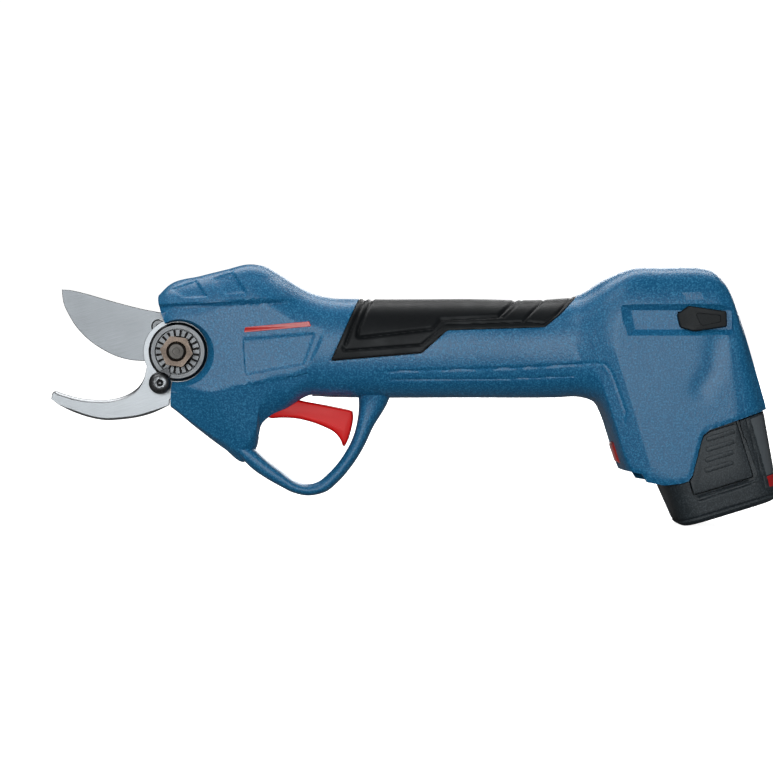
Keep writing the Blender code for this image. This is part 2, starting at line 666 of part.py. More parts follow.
def peg_place():
    """The drive peg, which ties the moving blade to the sector gear behind it."""
    angle, reach = math.radians(129), BLADE_EYE_RADIUS
    return reach * math.cos(angle), reach * math.sin(angle)


PEG_RADIUS = 3.1 * MM
LOCK_SCREW = (-7.8 * MM, -14.2 * MM)
BLADE_SCREW = (4.2 * MM, -17.8 * MM)


def build_blades():
    hole = BOLT_RADIUS + 0.25 * MM
    upper = side_plate("upper_blade", [moving_blade_outline(), circle(BUSH_RADIUS + GAP), circle(PEG_RADIUS + 0.2 * MM, peg_place(), 20)],
                       MOVING_BLADE_FACE - MOVING_BLADE_THICKNESS, MOVING_BLADE_FACE, "blade_steel")
    lower = side_plate("lower_blade", [fixed_blade_outline(), circle(hole), circle(1.8 * MM, LOCK_SCREW, 16)]
                       + [circle(1.7 * MM, BLADE_SCREW, 16)],
                       FIXED_BLADE_FRONT, FIXED_BLADE_BACK, "blade_steel")
    x, z = peg_place()
    peg = rod("drive_peg", (x, MOVING_BLADE_FACE - MOVING_BLADE_THICKNESS, z), (x, HUB_FACE + 2.4 * MM, z), PEG_RADIUS, "dark_steel", sides=20)
    x, z = BLADE_SCREW
    turned("blade_screw", [(2.5 * MM, 1.6 * MM), (2.5 * MM, 0), (1.4 * MM, 0), (1.4 * MM, -9 * MM), (0, -9 * MM), (0, 1.6 * MM)],
           (x, FIXED_BLADE_FRONT - GAP, z), (0, -1, 0), "dark_steel", sides=16)
    return upper, lower, peg


def build_pivot():
    bolt_end = NUT_FRONT - 0.6 * MM
    head_face = FRAME_BACK + GAP
    head = 4.2 * MM
    turned("pivot_bolt", [
        (7.5 * MM, head_face + head - 0.6 * MM), (7.5 * MM, head_face), (BOLT_RADIUS, head_face), (BOLT_RADIUS, bolt_end + 0.6 * MM),
        (BOLT_RADIUS - 0.6 * MM, bolt_end), (0, bolt_end), (0, head_face + head - 2.2 * MM),
        (3.0 * MM, head_face + head - 2.2 * MM), (3.0 * MM, head_face + head), (6.9 * MM, head_face + head),
    ], (0, 0, 0), (0, 1, 0), "dark_steel")
    turned("pivot_bush", ring_profile(BOLT_RADIUS + 0.25 * MM, BUSH_RADIUS, MOVING_BLADE_FACE - MOVING_BLADE_THICKNESS, HUB_BACK - 0.2 * MM),
           (0, 0, 0), (0, 1, 0), "bronze")
    nut = side_plate("pivot_nut", [circle(NUT_FLATS / math.sqrt(3), sides=6, phase=math.radians(-8)), circle(BOLT_RADIUS + 0.15 * MM, sides=24)],
                     NUT_FRONT, NUT_FRONT + NUT_HEIGHT, "nut_bronze")
    tooth = math.tau / LOCK_RING_TEETH
    root = LOCK_RING_RADIUS - 2.3 * MM
    star = []
    for i in range(LOCK_RING_TEETH):
        for radius, share in ((root, -0.30), (LOCK_RING_RADIUS, -0.22), (LOCK_RING_RADIUS, 0.22), (root, 0.30)):
            star.append((radius * math.cos(tooth * (i + share)), radius * math.sin(tooth * (i + share))))
    side_plate("lock_ring", [star, circle(BOLT_RADIUS + 0.25 * MM, sides=24)], DISC_FRONT - 0.2 * MM, DISC_BACK - 0.7 * MM, "dark_steel")
    seat = LOCK_RING_RADIUS + GAP
    edge = 0.5 * MM
    turned("cover_disc", [
        (DISC_RADIUS, -edge), (DISC_RADIUS, -DISC_THICKNESS), (BOLT_RADIUS + 0.25 * MM, -DISC_THICKNESS),
        (BOLT_RADIUS + 0.25 * MM, -DISC_THICKNESS + 0.4 * MM), (seat, -DISC_THICKNESS + 0.4 * MM), (seat, 0), (DISC_RADIUS - edge, 0),
    ], (0, DISC_FRONT, 0), (0, -1, 0), "aluminium", sides=48)
    x, z = LOCK_SCREW
    tab_front = DISC_FRONT - 0.5 * MM
    reach = math.hypot(x, z)
    tip = LOCK_RING_RADIUS - 1.6 * MM
    side = Vector((-z, x)) / reach
    out = Vector((x, z)) / reach
    tab = [out * tip + side * 0.5 * MM, out * (tip + 2.4 * MM) + side * 2.4 * MM, out * (reach + 1.5 * MM) + side * 3.6 * MM,
           out * (reach + 4 * MM), out * (reach + 1.5 * MM) - side * 3.6 * MM, out * (tip + 2.4 * MM) - side * 2.4 * MM,
           out * tip - side * 0.5 * MM]
    side_plate("lock_tab", [[tuple(p) for p in tab], circle(1.9 * MM, LOCK_SCREW, 16)], tab_front - 1.4 * MM, tab_front, "dark_steel")
    turned("lock_screw", [
        (3.9 * MM, 3.2 * MM), (5 * MM, 1.6 * MM), (5 * MM, 0), (1.6 * MM, 0), (1.6 * MM, -6.8 * MM), (0, -6.8 * MM), (0, 1.0 * MM),
        (2.1 * MM, 1.0 * MM), (2.1 * MM, 3.2 * MM),
    ], (x, tab_front - 1.4 * MM - GAP, z), (0, -1, 0), "dark_steel", sides=24)


# ------------------------------------------------------------------ gears


def involute(angle):
    return math.tan(angle) - angle


def flank_half_angle(radius, pitch_radius, teeth, backlash, inside=False):
    """Half the angle that a tooth covers at a radius, or a ring's tooth space if inside."""
    pressure = math.radians(20)
    base = pitch_radius * math.cos(pressure)
    here = math.acos(min(1.0, base / max(radius, base)))
    slack = (backlash if inside else -backlash) / (2 * pitch_radius)
    return math.pi / (2 * teeth) + slack + involute(pressure) - involute(here)


def gear_outline(teeth, module, backlash=SPUR_BACKLASH, inside=False, start=0.0):
    """A spur gear's outline, or the teeth of a ring gear cut by one, with a tooth at start."""
    pitch = module * teeth / 2
    inner, outer = (pitch - 1.15 * module, pitch + 0.95 * module)
    if inside:
        inner, outer = (pitch - 0.95 * module, pitch + 1.2 * module)
    rungs = [inner + (outer - inner) * share for share in (0.0, 0.3, 0.65, 1.0)]
    points = []
    for i in range(teeth):
        middle = start + math.tau * i / teeth
        halves = [(radius, flank_half_angle(radius, pitch, teeth, backlash, inside)) for radius in rungs]
        for radius, half in halves:
            points.append((radius, middle - half))
        for radius, half in reversed(halves):
            points.append((radius, middle + half))
    return [(radius * math.cos(angle), radius * math.sin(angle)) for radius, angle in points]


def bevel_teeth(name, columns, inner_reach, outer_reach, cone, back, finish):
    """Bevel teeth round the local Z axis, apex at the origin. columns are (angle, height) of the
    tooth surface in outer-end units, cone is the pitch cone's half angle, and back is the two
    (radius, height) points under the teeth's inner and outer ends."""
    closed = abs(columns[-1][0] - columns[0][0]) > math.radians(330)
    bm = bmesh.new()
    rows = []
    for angle, height in columns:
        points = [back[0]]
        for reach in (inner_reach, outer_reach):
            rise = height * reach / outer_reach
            points.append((reach * math.sin(cone) - rise * math.cos(cone) * -1, reach * math.cos(cone) - rise * math.sin(cone)))
        points.append(back[1])
        rows.append([bm.verts.new((r * math.cos(angle), r * math.sin(angle), h)) for r, h in points])
    pairs = list(zip(rows, rows[1:])) + ([(rows[-1], rows[0])] if closed else [])
    for row, after in pairs:
        for i in range(4):
            j = (i + 1) % 4
            bm.faces.new((row[i], row[j], after[j], after[i]))
    if not closed:
        bm.faces.new(rows[0])
        bm.faces.new(rows[-1])
    return mesh_object(name, bm, finish, smooth=20)


def tooth_columns(teeth, count, first, pitch_radius, virtual_teeth, start):
    """(angle, height) round a run of bevel teeth, with involute sides on their back cone."""
    module = 2 * pitch_radius / teeth
    virtual = module * virtual_teeth / 2
    columns = []
    for i in range(first, first + count):
        middle = start + math.tau * i / teeth
        sides = []
        for height in (-1.25 * module, -0.4 * module, 0.35 * module, 0.95 * module):
            half = flank_half_angle(virtual + height, virtual, virtual_teeth, BEVEL_BACKLASH) * virtual / pitch_radius
            sides.append((half, height))
        columns += [(middle - half, height) for half, height in sides]
        columns += [(middle + half, height) for half, height in reversed(sides)]
    return columns


def build_bevel_gears():
    """The sector gear on the pivot and its pinion on the drive axis."""
    sector_teeth = PINION_TEETH * BEVEL_RATIO
    cone = math.atan(BEVEL_RATIO)
    outer = math.hypot(BEVEL_RADIUS, PINION_RADIUS)
    inner = outer - BEVEL_FACE
    pitch = math.tau / sector_teeth
    first = -math.floor(SECTOR_BELOW / pitch)
    count = math.floor(SECTOR_ABOVE / pitch) - first + 1
    columns = tooth_columns(sector_teeth, count, first, BEVEL_RADIUS, sector_teeth / math.cos(cone), pitch / 2)
    sector = bevel_teeth("sector_gear", columns, inner, outer, cone,
                         [(HUB_RADIUS - 1 * MM, HUB_BACK), (BEVEL_RADIUS + 1.2 * MM, HUB_BACK)], "gear_steel")
    # The local Z axis of the teeth becomes +Y, and their angles are measured from +X towards +Z.
    turn = Matrix(((1, 0, 0), (0, 0, 1), (0, 1, 0))).to_4x4()
    sector.data.transform(turn)
    sector.data.flip_normals()
    join(sector, rod("sector_hub", (0, HUB_FACE, 0), (0, HUB_BACK, 0), HUB_RADIUS, sides=32))
    x, z = peg_place()
    ear = [tuple(p) for p in circle(PEG_RADIUS + 2 * MM, (x, z), 20)]
    join(sector, rod("sector_ear", (x, HUB_FACE, z), (x, HUB_FACE + 2.6 * MM, z), PEG_RADIUS + 2 * MM, sides=20))
    cut(sector, rod("sector_bore", (0, -30 * MM, 0), (0, 30 * MM, 0), BUSH_RADIUS + GAP, sides=ROUND),
        rod("sector_peg_hole", (x, -30 * MM, z), (x, 30 * MM, z), PEG_RADIUS + 0.2 * MM, sides=20))
    del ear

    pinion_cone = math.atan(1 / BEVEL_RATIO)
    columns = tooth_columns(PINION_TEETH, PINION_TEETH, 0, PINION_RADIUS, PINION_TEETH / math.cos(pinion_cone), 0)
    bore = 2.3 * MM
    pinion = bevel_teeth("bevel_pinion", columns, inner, outer, pinion_cone,
                         [(bore, inner * math.cos(pinion_cone)), (bore, outer * math.cos(pinion_cone) + 1.2 * MM)], "gear_steel")
    # Its local Z becomes +X and its first tooth points along +Y.
    pinion.data.transform(ALONG)
    return sector, pinion


def build_output_shaft():
    """The shaft that carries the pinion, its bearing and the planet carrier."""
    start, step = 15.6 * MM, 25.8 * MM
    shaft = turned("output_shaft", [
        (0, GEARBOX_START + 1.0 * MM), (3.9 * MM, GEARBOX_START + 1.0 * MM), (3.9 * MM, step), (2.1 * MM, step), (2.1 * MM, start), (0, start),
    ], (0, 0, 0), (1, 0, 0), "gear_steel", sides=20)
    bearing_start = step + 1.0 * MM
    turned("output_bearing", [
        (10.8 * MM, 7 * MM), (10.8 * MM, 0), (8.8 * MM, 0), (8.8 * MM, 0.8 * MM), (6.2 * MM, 0.8 * MM), (6.2 * MM, 0), (4.2 * MM, 0),
        (4.2 * MM, 7 * MM), (6.2 * MM, 7 * MM), (6.2 * MM, 6.2 * MM), (8.8 * MM, 6.2 * MM), (8.8 * MM, 7 * MM),
    ], (bearing_start, 0, 0), (1, 0, 0), "gear_steel")
    return shaft, bearing_start


def build_gearbox():
    """The planet carrier, three planets, the ring gear and the sun gear."""
    plate = GEARBOX_START + 1.3 * MM
    face = plate + 2.6 * MM
    width = 7 * MM
    pin = 1.5 * MM
    carrier = rod("planet_carrier", (plate, 0, 0), (face, 0, 0), ORBIT + 2.4 * MM, "gear_steel", sides=32)
    planets = []
    for i in range(PLANETS):
        turn = math.tau * i / PLANETS
        y, z = ORBIT * math.cos(turn), ORBIT * math.sin(turn)
        join(carrier, rod(f"carrier_pin_{i + 1}", (plate + 1 * MM, y, z), (face + width + 0.5 * MM, y, z), pin, sides=14))
        planet = end_plate(f"planet_gear_{i + 1}", [gear_outline(PLANET_TEETH, SPUR_MODULE, start=turn), circle(pin + 0.25 * MM, sides=14)],
                           face + GAP, face + GAP + width, "gear_steel", centre=(y, z))
        planets.append((planet, (0, y, z)))
    end_plate("ring_gear", [circle(DRIVE_RADIUS, sides=48), gear_outline(RING_TEETH, SPUR_MODULE, inside=True)],
              GEARBOX_START, GEARBOX_END, "gear_steel")
    sun = end_plate("sun_gear", [gear_outline(SUN_TEETH, SPUR_MODULE), circle(SHAFT_RADIUS + 0.15 * MM, sides=14)],
                    face + GAP, face + GAP + width + 1 * MM, "gear_steel")
    return carrier, planets, sun, face + GAP


def build_motor(sun_start):
    """The brushless motor behind the gearbox: flange, can, stator, rotor, shaft and bearings."""
    shell = 1.1 * MM
    bearing = (SHAFT_RADIUS + 0.25 * MM, 5.0 * MM, 3.0 * MM)
    inner, outer, width = bearing
    flange_start = GEARBOX_END + GAP
    turned("motor_flange", ring_profile(outer + GAP, DRIVE_RADIUS, flange_start, MOTOR_START - GAP), (0, 0, 0), (1, 0, 0), "aluminium", sides=32)
    turned("motor_front_bearing", ring_profile(inner, outer, flange_start + 0.1 * MM, MOTOR_START - GAP), (0, 0, 0), (1, 0, 0), "gear_steel", sides=20)
    turned("motor_can", [
        (DRIVE_RADIUS, MOTOR_END), (DRIVE_RADIUS, MOTOR_START), (DRIVE_RADIUS - shell, MOTOR_START), (DRIVE_RADIUS - shell, MOTOR_END - 3.4 * MM),
        (outer + GAP, MOTOR_END - 3.4 * MM), (outer + GAP, MOTOR_END),
    ], (0, 0, 0), (1, 0, 0), "dark_steel", sides=32)
    turned("motor_rear_bearing", ring_profile(inner, outer, MOTOR_END - 3.2 * MM, MOTOR_END - 0.2 * MM), (0, 0, 0), (1, 0, 0), "gear_steel", sides=20)
    stack = (MOTOR_START + 8 * MM, MOTOR_END - 10 * MM)
    bore = DRIVE_RADIUS * 0.52
    slots = []
    poles = 6
    for i in range(poles):
        for radius, share in ((bore, -0.42), (bore, -0.2), (bore, 0.0), (bore, 0.2), (bore, 0.42), (bore + 1 * MM, 0.42), (bore + 1.4 * MM, 0.18), (DRIVE_RADIUS - 4 * MM, 0.14)):
            angle = math.tau * (i + share) / poles
            slots.append((radius, angle))
        for radius, share in ((DRIVE_RADIUS - 4 * MM, 0.86), (bore + 1.4 * MM, 0.82)):
            slots.append((radius, math.tau * (i + share) / poles))
        slots.append((bore + 1 * MM, math.tau * (i + 0.58) / poles))
    slots = [(r * math.cos(a), r * math.sin(a)) for r, a in slots]
    end_plate("motor_stator", [circle(DRIVE_RADIUS - shell - GAP, sides=32), slots], *stack, "dark_steel")
    rotor = turned("motor_rotor", ring_profile(SHAFT_RADIUS + 0.15 * MM, bore - 0.5 * MM, stack[0], stack[1]), (0, 0, 0), (1, 0, 0), "gear_steel", sides=24)
    shaft = rod("motor_shaft", (sun_start - 0.2 * MM, 0, 0), (MOTOR_END + 1.5 * MM, 0, 0), SHAFT_RADIUS, "gear_steel", sides=14)
    return rotor, shaft


def build_gear_frame():
    """The cast frame: the pivot boss, the arm beside the sector gear, the bearing seat, and the
    block that the fixed blade is screwed to."""
    boss = rod("gear_frame", (0, FRAME_FRONT, 0), (0, FRAME_BACK, 0), RECESS_RADIUS - 0.6 * MM, "aluminium", sides=40)
    seat_start, seat_end = 26.4 * MM, GEARBOX_START - GAP
    arm_outline = in_mm([(0, 12.5), (0, -12.5), (26, -11), (33, -9), (33, 9), (26, 11)])
    arm = solid_of(side_plate("frame_arm", [arm_outline], FRAME_FRONT, FRAME_BACK))
    seat = rod("frame_seat", (seat_start, 0, 0), (seat_end, 0, 0), DRIVE_RADIUS, sides=40)
    pad = box("frame_pad", (0, FIXED_BLADE_BACK + GAP, -20.6 * MM), (8.4 * MM, FRAME_FRONT + 1.4 * MM, -14.4 * MM))
    web = box("frame_web", (0, FRAME_FRONT, -16 * MM), (8.4 * MM, FRAME_FRONT + 1.4 * MM, -8 * MM))
    join(boss, arm, seat, pad, web)
    cut(boss, rod("frame_bolt_hole", (0, -40 * MM, 0), (0, 40 * MM, 0), BOLT_RADIUS + 0.2 * MM, sides=ROUND),
        rod("frame_bearing_seat", (seat_start - 5 * MM, 0, 0), (seat_end - 1.2 * MM, 0, 0), 11.1 * MM, sides=ROUND),
        rod("frame_shaft_hole", (seat_start - 5 * MM, 0, 0), (seat_end + 5 * MM, 0, 0), 6 * MM, sides=24))
    x, z = BLADE_SCREW
    cut(boss, rod("frame_screw_hole", (x, -20 * MM, z), (x, FIXED_BLADE_FRONT + 12 * MM, z), 1.6 * MM, sides=12))
    return boss


# ------------------------------------------------------------------ trigger, electronics


def build_trigger():
    x, z = TRIGGER_PIVOT
    outline = in_mm([(-3.4, 1.5), (-1.5, 3.8), (3, 4.4), (10.5, 4.2), (17, 3.0), (26, 1.4), (35.6, -0.5), (37.5, -1.2),
                     (37.7, -4.5), (36.8, -9.5), (35.3, -14.5), (33.7, -17.4), (32.9, -17.2), (32.0, -14.4), (30.4, -12.2),
                     (27.5, -9.8), (20, -6.6), (12, -4.6), (4.6, -4.2), (0, -4.4), (-3.4, -2.6)])
    outline = [(x + u, z + v) for u, v in outline]
    trigger = side_plate("trigger", [outline, circle(TRIGGER_PIN_RADIUS + GAP, (x, z), 16)], -TRIGGER_HALF_WIDTH, TRIGGER_HALF_WIDTH, "trigger_red")
    trigger = solid_of(trigger)
    cut(trigger, rod("magnet_pocket", (x + 4.5 * MM, -1.8 * MM, z + 6 * MM), (x + 4.5 * MM, -1.8 * MM, z + 2.2 * MM), 1.9 * MM, sides=16))
    magnet = rod("trigger_magnet", (x + 4.5 * MM, -1.8 * MM, z + 2.5 * MM), (x + 4.5 * MM, -1.8 * MM, z + 4.3 * MM), 1.6 * MM, "gear_steel", sides=16)
    rod("trigger_pin", (x, -TRIGGER_PIN_REACH, z), (x, TRIGGER_PIN_REACH, z), TRIGGER_PIN_RADIUS, "gear_steel", sides=16)
    coil = []
    turns, per_turn, coil_radius = 3, 10, 2.45 * MM
    for i in range(turns * per_turn + 1):
        angle = math.tau * (0.25 + i / per_turn)
        coil.append((x + coil_radius * math.cos(angle), 2.4 * MM + 0.95 * MM * i / per_turn, z + coil_radius * math.sin(angle)))
    coil.append((x - 0.6 * MM, 5.25 * MM, z + 5.6 * MM))
    tube("trigger_spring", coil, 0.35 * MM, "gear_steel")
    cut(trigger, rod("spring_pocket", (x, 1.6 * MM, z), (x, TRIGGER_HALF_WIDTH + 1 * MM, z), 3.2 * MM, sides=20),
        box("spring_notch", (x - 2.4 * MM, 4.4 * MM, z + 1 * MM), (x + 1.6 * MM, TRIGGER_HALF_WIDTH + 1 * MM, z + 6 * MM)))
    box("sensor_board", (x + 1 * MM, -5 * MM, z + 6.2 * MM), (x + 13 * MM, 5 * MM, z + 7.4 * MM), "board_green")
    return trigger, magnet


def tube(name, points, radius, finish):
    """A round wire through points, straight between them."""
    curve = bpy.data.curves.new(name, "CURVE")
    curve.dimensions = "3D"
    curve.bevel_depth = radius
    curve.bevel_resolution = 2
    curve.use_fill_caps = True
    spline = curve.splines.new("POLY")
    spline.points.add(len(points) - 1)
    for target, point in zip(spline.points, points):
        target.co = (*point, 1)
    return add_object(name, curve, finish)


def lead(name, points, radius, finish):
    """A wire along a smooth curve through a few points."""
    rows = [(p[0], p[2], p[0], p[2], p[1]) for p in points]
    return tube(name, [(row[0], row[4], row[1]) for row in smooth_rows(rows, 5 * MM)], radius, finish)


BOARD_THICKNESS = 1.6 * MM


def build_electronics():
    start, end = MOTOR_END + 8 * MM, REAR_X - 4 * MM
    level = HANDLE_BOTTOM + 13 * MM
    board = solid_of(box("control_board", (start, -11 * MM, level), (end, 11 * MM, level + BOARD_THICKNESS), "board_green"))
    top = level + BOARD_THICKNESS
    rod("capacitor", (end - 26 * MM, 0, top + GAP + 5 * MM), (end - 6 * MM, 0, top + GAP + 5 * MM), 5 * MM, "cell_wrap", sides=20)
    for i, y in enumerate((-7 * MM, 0, 7 * MM)):
        join(board, box(f"power_switch_{i + 1}", (start + 12 * MM, y - 2.6 * MM, level + 0.5 * MM), (start + 18 * MM, y + 2.6 * MM, top + 2.4 * MM)))
        lead(f"phase_wire_{i + 1}", [(MOTOR_END + 0.6 * MM, y * 1.2, 8.5 * MM), (MOTOR_END + 5 * MM, y * 1.2, 8.0 * MM),
                                     (start + 4 * MM, y, 1.5 * MM), (start + 7 * MM, y, top + 1.4 * MM)], 1.0 * MM,
             ("wire_red", "wire_black", "cell_wrap")[i])
    return board, top


def battery_point(u, y, w):
    """A point of the battery's own frame, in the design frame."""
    s, c = math.sin(BATTERY_TILT), math.cos(BATTERY_TILT)
    return Vector((REAR_X + BATTERY_FOOT[0] + u * c - w * s, y, BATTERY_FOOT[1] + u * s + w * c))


def battery_ring(w, half_u, half_y, roundness, sides=32):
    ring = []
    for i in range(sides):
        across, along = squared(math.tau * i / sides, roundness)
        ring.append(battery_point(along * half_u, across * half_y, w))
    return ring


def button_frame(sign):
    """(u low, u high, w low, w high, inner y, outer y) of a release button."""
    outer = BATTERY_BASE_HALF[1] + 1.9 * MM
    return -14.5 * MM, 13.2 * MM, 13.4 * MM, 38.5 * MM, outer - 3.2 * MM, outer


def battery_block(name, limits, finish=None):
    """A block in the battery's frame, from (u, y, w) limits."""
    low, high = [Vector(corner) for corner in zip(*limits)]
    obj = box(name, low, high, finish)
    obj.matrix_world = Matrix.Translation(battery_point(0, 0, 0)) @ Matrix.Rotation(-BATTERY_TILT, 4, "Y")
    return obj


def build_battery():
    a, b = BATTERY_BASE_HALF
    shoulder = 5 * MM

    def level(w, shrink=0.0):
        return battery_ring(w, a + BATTERY_FLARE * w - shrink, b + 0.08 * w - shrink, 4.6)

    case = loft("battery_case", [level(0, 2.2 * MM), level(0.7 * MM, 0.9 * MM), level(2.2 * MM), level(shoulder), level(BATTERY_BASE_HEIGHT)], "battery_black")
    keep_common(case, below_socket_edge("battery_limit", 0.6 * MM))
    tower = loft("battery_tower", [battery_ring(w, TOWER_HALF, TOWER_HALF, 4.0) for w in (8 * MM, TOWER_TOP)])
    join(case, tower)
    cells = []
    places = in_mm([(-9.6, -9.7), (-9.6, 9.7), (8.4, 0)])
    for i, (u, y) in enumerate(places):
        foot, top = battery_point(u, y, 11 * MM), battery_point(u, y, 11 * MM + CELL_LENGTH)
        cut(case, rod(f"cell_pocket_{i + 1}", battery_point(u, y, 10.5 * MM), battery_point(u, y, TOWER_TOP + 5 * MM), CELL_RADIUS + 0.35 * MM, sides=24))
        cells.append(rod(f"cell_{i + 1}", foot, top, CELL_RADIUS, "cell_wrap", sides=24))
    terminals = battery_block("pack_contacts", [(-9 * MM, 9 * MM), (-13 * MM, 13 * MM), (TOWER_TOP + GAP, TOWER_TOP + 2.4 * MM)], "battery_black")
    buttons = []
    for side, sign in (("left", -1), ("right", 1)):
        u0, u1, w0, w1, y0, y1 = button_frame(sign)
        ys = sorted((sign * y0, sign * y1))
        button = battery_block(f"battery_button_{side}", [(u0, u1), ys, (w0, w1)], "battery_black")
        keep_common(button, below_socket_edge(f"button_limit_{side}", 0.9 * MM))
        pocket_ys = sorted((sign * (y0 - BUTTON_TRAVEL - GAP), sign * (y1 + 8 * MM)))
        g = 0.5 * MM
        cut(case, battery_block(f"button_pocket_{side}", [(u0 - g, u1 + g), pocket_ys, (w0 - g, w1 + 12 * MM)]))
        ribs = []
        for n in range(4):
            w = 35.5 * MM - n * 4.4 * MM
            left = -1.0 * MM - n * 1.6 * MM
            outer_ys = sorted((sign * (y1 - 0.5 * MM), sign * (y1 + 0.7 * MM)))
            ribs.append(battery_block(f"button_rib_{side}_{n + 1}", [(left - 1 * MM, left + 12.5 * MM), outer_ys, (w - 1.1 * MM, w + 1.1 * MM)]))
        join(button, *ribs)
        buttons.append(button)
    return [case, *cells, terminals], buttons


def build_terminal_block(board_top):
    """The contacts in the housing above the battery, and the two leads to the board."""
    block = battery_block("terminal_block", [(-10 * MM, 10 * MM), (-14 * MM, 14 * MM), (TOWER_TOP + 3.2 * MM, TOWER_TOP + 9 * MM)], "grip_black")
    for i, y in enumerate((-6 * MM, 6 * MM)):
        start = battery_point(-10.4 * MM, y, TOWER_TOP + 6 * MM)
        lead(f"battery_lead_{i + 1}", [tuple(start), (start.x - 7 * MM, y, start.z - 2 * MM), (REAR_X + 6 * MM, y, board_top + 9 * MM),
                                       (REAR_X - 6 * MM, y, board_top + 3 * MM), (REAR_X - 9 * MM, y, board_top + 1.4 * MM)], 1.1 * MM, ("wire_red", "wire_black")[i])
    return block


def build_slider():
    """The power slider: a ramped thumb piece on a stem through the slot."""
    x, z, floor = slider_frame()
    half_l, half_h = SLIDER_LENGTH / 2, SLIDER_HEIGHT / 2
    top = floor - RECESS_DEPTH + 0.1 * MM

    def section(dx, half, y):
        return [(x + dx, floor - GAP, z - half), (x + dx, y, z - half * 0.82), (x + dx, y, z + half * 0.82), (x + dx, floor - GAP, z + half)]

    thumb = loft("power_slider", [section(-half_l, half_h * 0.72, floor - 0.9 * MM), section(-half_l + 2.2 * MM, half_h * 0.92, floor - 1.6 * MM),
                                  section(-2.8 * MM, half_h, top), section(half_l * 0.8, half_h * 0.84, top + 0.5 * MM), section(half_l, half_h * 0.66, top + 1.2 * MM)],
                 "grip_black")
    join(thumb, box("slider_stem", (x - 4.5 * MM, floor - 1 * MM, z - 3 * MM), (x + 4.5 * MM, floor + WALL + 1 * MM, z + 3 * MM)))
    return thumb


def set_origin_at_bottom_centre():
    """Moves the frame so that the origin is under the middle of everything, at its lowest point."""
    bpy.context.view_layer.update()
    graph = bpy.context.evaluated_depsgraph_get()
    low, high = Vector((1, 1, 1)), Vector((-1, -1, -1))
    for obj in PARTS.objects:
        if obj.type == "EMPTY":
            continue
        shown = obj.evaluated_get(graph)
        mesh = shown.to_mesh()
        for vertex in mesh.vertices:
            point = shown.matrix_world @ vertex.co
            low = Vector(map(min, low, point))
            high = Vector(map(max, high, point))
        shown.to_mesh_clear()
    FRAME.location = (-(low.x + high.x) / 2, 0, -low.z)
    print("frame shift mm", [round(v * 1000, 3) for v in FRAME.location], "size mm", [round(v * 1000, 2) for v in high - low],
          "y", round(low.y * 1000, 2), round(high.y * 1000, 2))


def build():
    """Makes every piece, then hangs the moving ones on empties that stand on their joints."""
    build_housing()
    upper, lower, peg = build_blades()
    build_pivot()
    sector, pinion = build_bevel_gears()
    shaft, _ = build_output_shaft()
    carrier, planets, sun, sun_start = build_gearbox()
    rotor, motor_shaft = build_motor(sun_start)
    build_gear_frame()
    trigger, magnet = build_trigger()
    _, board_top = build_electronics()
    pack, buttons = build_battery()
    build_terminal_block(board_top)
    slider = build_slider()
    tilted_box("status_window", window_place(), (2.8 * MM, 8.0 * MM, 5.0 * MM), "lens_smoke")

    hang(new_empty("blade_axis", (0, 0, 0), FRAME), upper, peg, sector)
    output = new_empty("output_axis", (0, 0, 0), FRAME)
    hang(output, shaft, pinion, carrier)
    for i, (planet, centre) in enumerate(planets):
        hang(new_empty(f"planet_axis_{i + 1}", centre, output), planet)
    hang(new_empty("motor_axis", (0, 0, 0), FRAME), rotor, motor_shaft, sun)
    hang(new_empty("trigger_axis", (TRIGGER_PIVOT[0], 0, TRIGGER_PIVOT[1]), FRAME), trigger, magnet)
    hang(new_empty("slider_track", (slider_frame()[0], slider_frame()[2], slider_frame()[1]), FRAME), slider)
    track = new_empty("battery_track", battery_point(0, 0, 0), FRAME)
    track.rotation_euler = (0, -BATTERY_TILT, 0)
    hang(track, *pack)
    for side, button in zip(("left", "right"), buttons):
        hang(new_empty(f"button_axis_{side}", (0, 0, 0), track), button)
    set_origin_at_bottom_centre()


build()
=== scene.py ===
"""Looks of a battery electric pruner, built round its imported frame.

Sizes are in millimetres from the blade pivot: X to the battery, Y away from the nut side, Z up.
"""
import json
import logging
import math
from dataclasses import dataclass
from enum import Enum
from typing import Any, Iterable, Sequence

import bmesh
import bpy
import numpy as np
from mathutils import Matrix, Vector


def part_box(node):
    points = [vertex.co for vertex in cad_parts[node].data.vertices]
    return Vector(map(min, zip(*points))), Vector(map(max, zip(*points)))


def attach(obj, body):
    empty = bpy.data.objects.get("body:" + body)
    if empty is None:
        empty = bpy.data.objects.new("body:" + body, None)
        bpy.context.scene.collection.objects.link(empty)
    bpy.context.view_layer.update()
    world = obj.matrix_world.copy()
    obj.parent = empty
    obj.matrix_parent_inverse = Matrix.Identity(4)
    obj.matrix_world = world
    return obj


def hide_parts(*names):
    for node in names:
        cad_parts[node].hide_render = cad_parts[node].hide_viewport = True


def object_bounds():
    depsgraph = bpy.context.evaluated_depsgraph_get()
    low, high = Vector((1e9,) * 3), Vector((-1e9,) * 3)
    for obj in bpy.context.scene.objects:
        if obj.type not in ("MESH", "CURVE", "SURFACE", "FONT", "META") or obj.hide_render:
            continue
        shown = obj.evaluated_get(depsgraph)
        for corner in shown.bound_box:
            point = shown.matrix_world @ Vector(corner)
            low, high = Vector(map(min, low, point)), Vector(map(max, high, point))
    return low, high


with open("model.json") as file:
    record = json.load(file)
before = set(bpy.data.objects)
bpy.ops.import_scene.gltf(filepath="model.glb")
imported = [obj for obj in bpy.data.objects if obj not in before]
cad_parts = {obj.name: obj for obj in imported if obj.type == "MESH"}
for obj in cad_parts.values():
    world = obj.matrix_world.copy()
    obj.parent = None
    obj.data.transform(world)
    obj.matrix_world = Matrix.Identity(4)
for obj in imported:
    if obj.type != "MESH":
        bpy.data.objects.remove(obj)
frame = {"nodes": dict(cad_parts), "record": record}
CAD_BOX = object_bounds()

LOG = logging.getLogger("pruner")
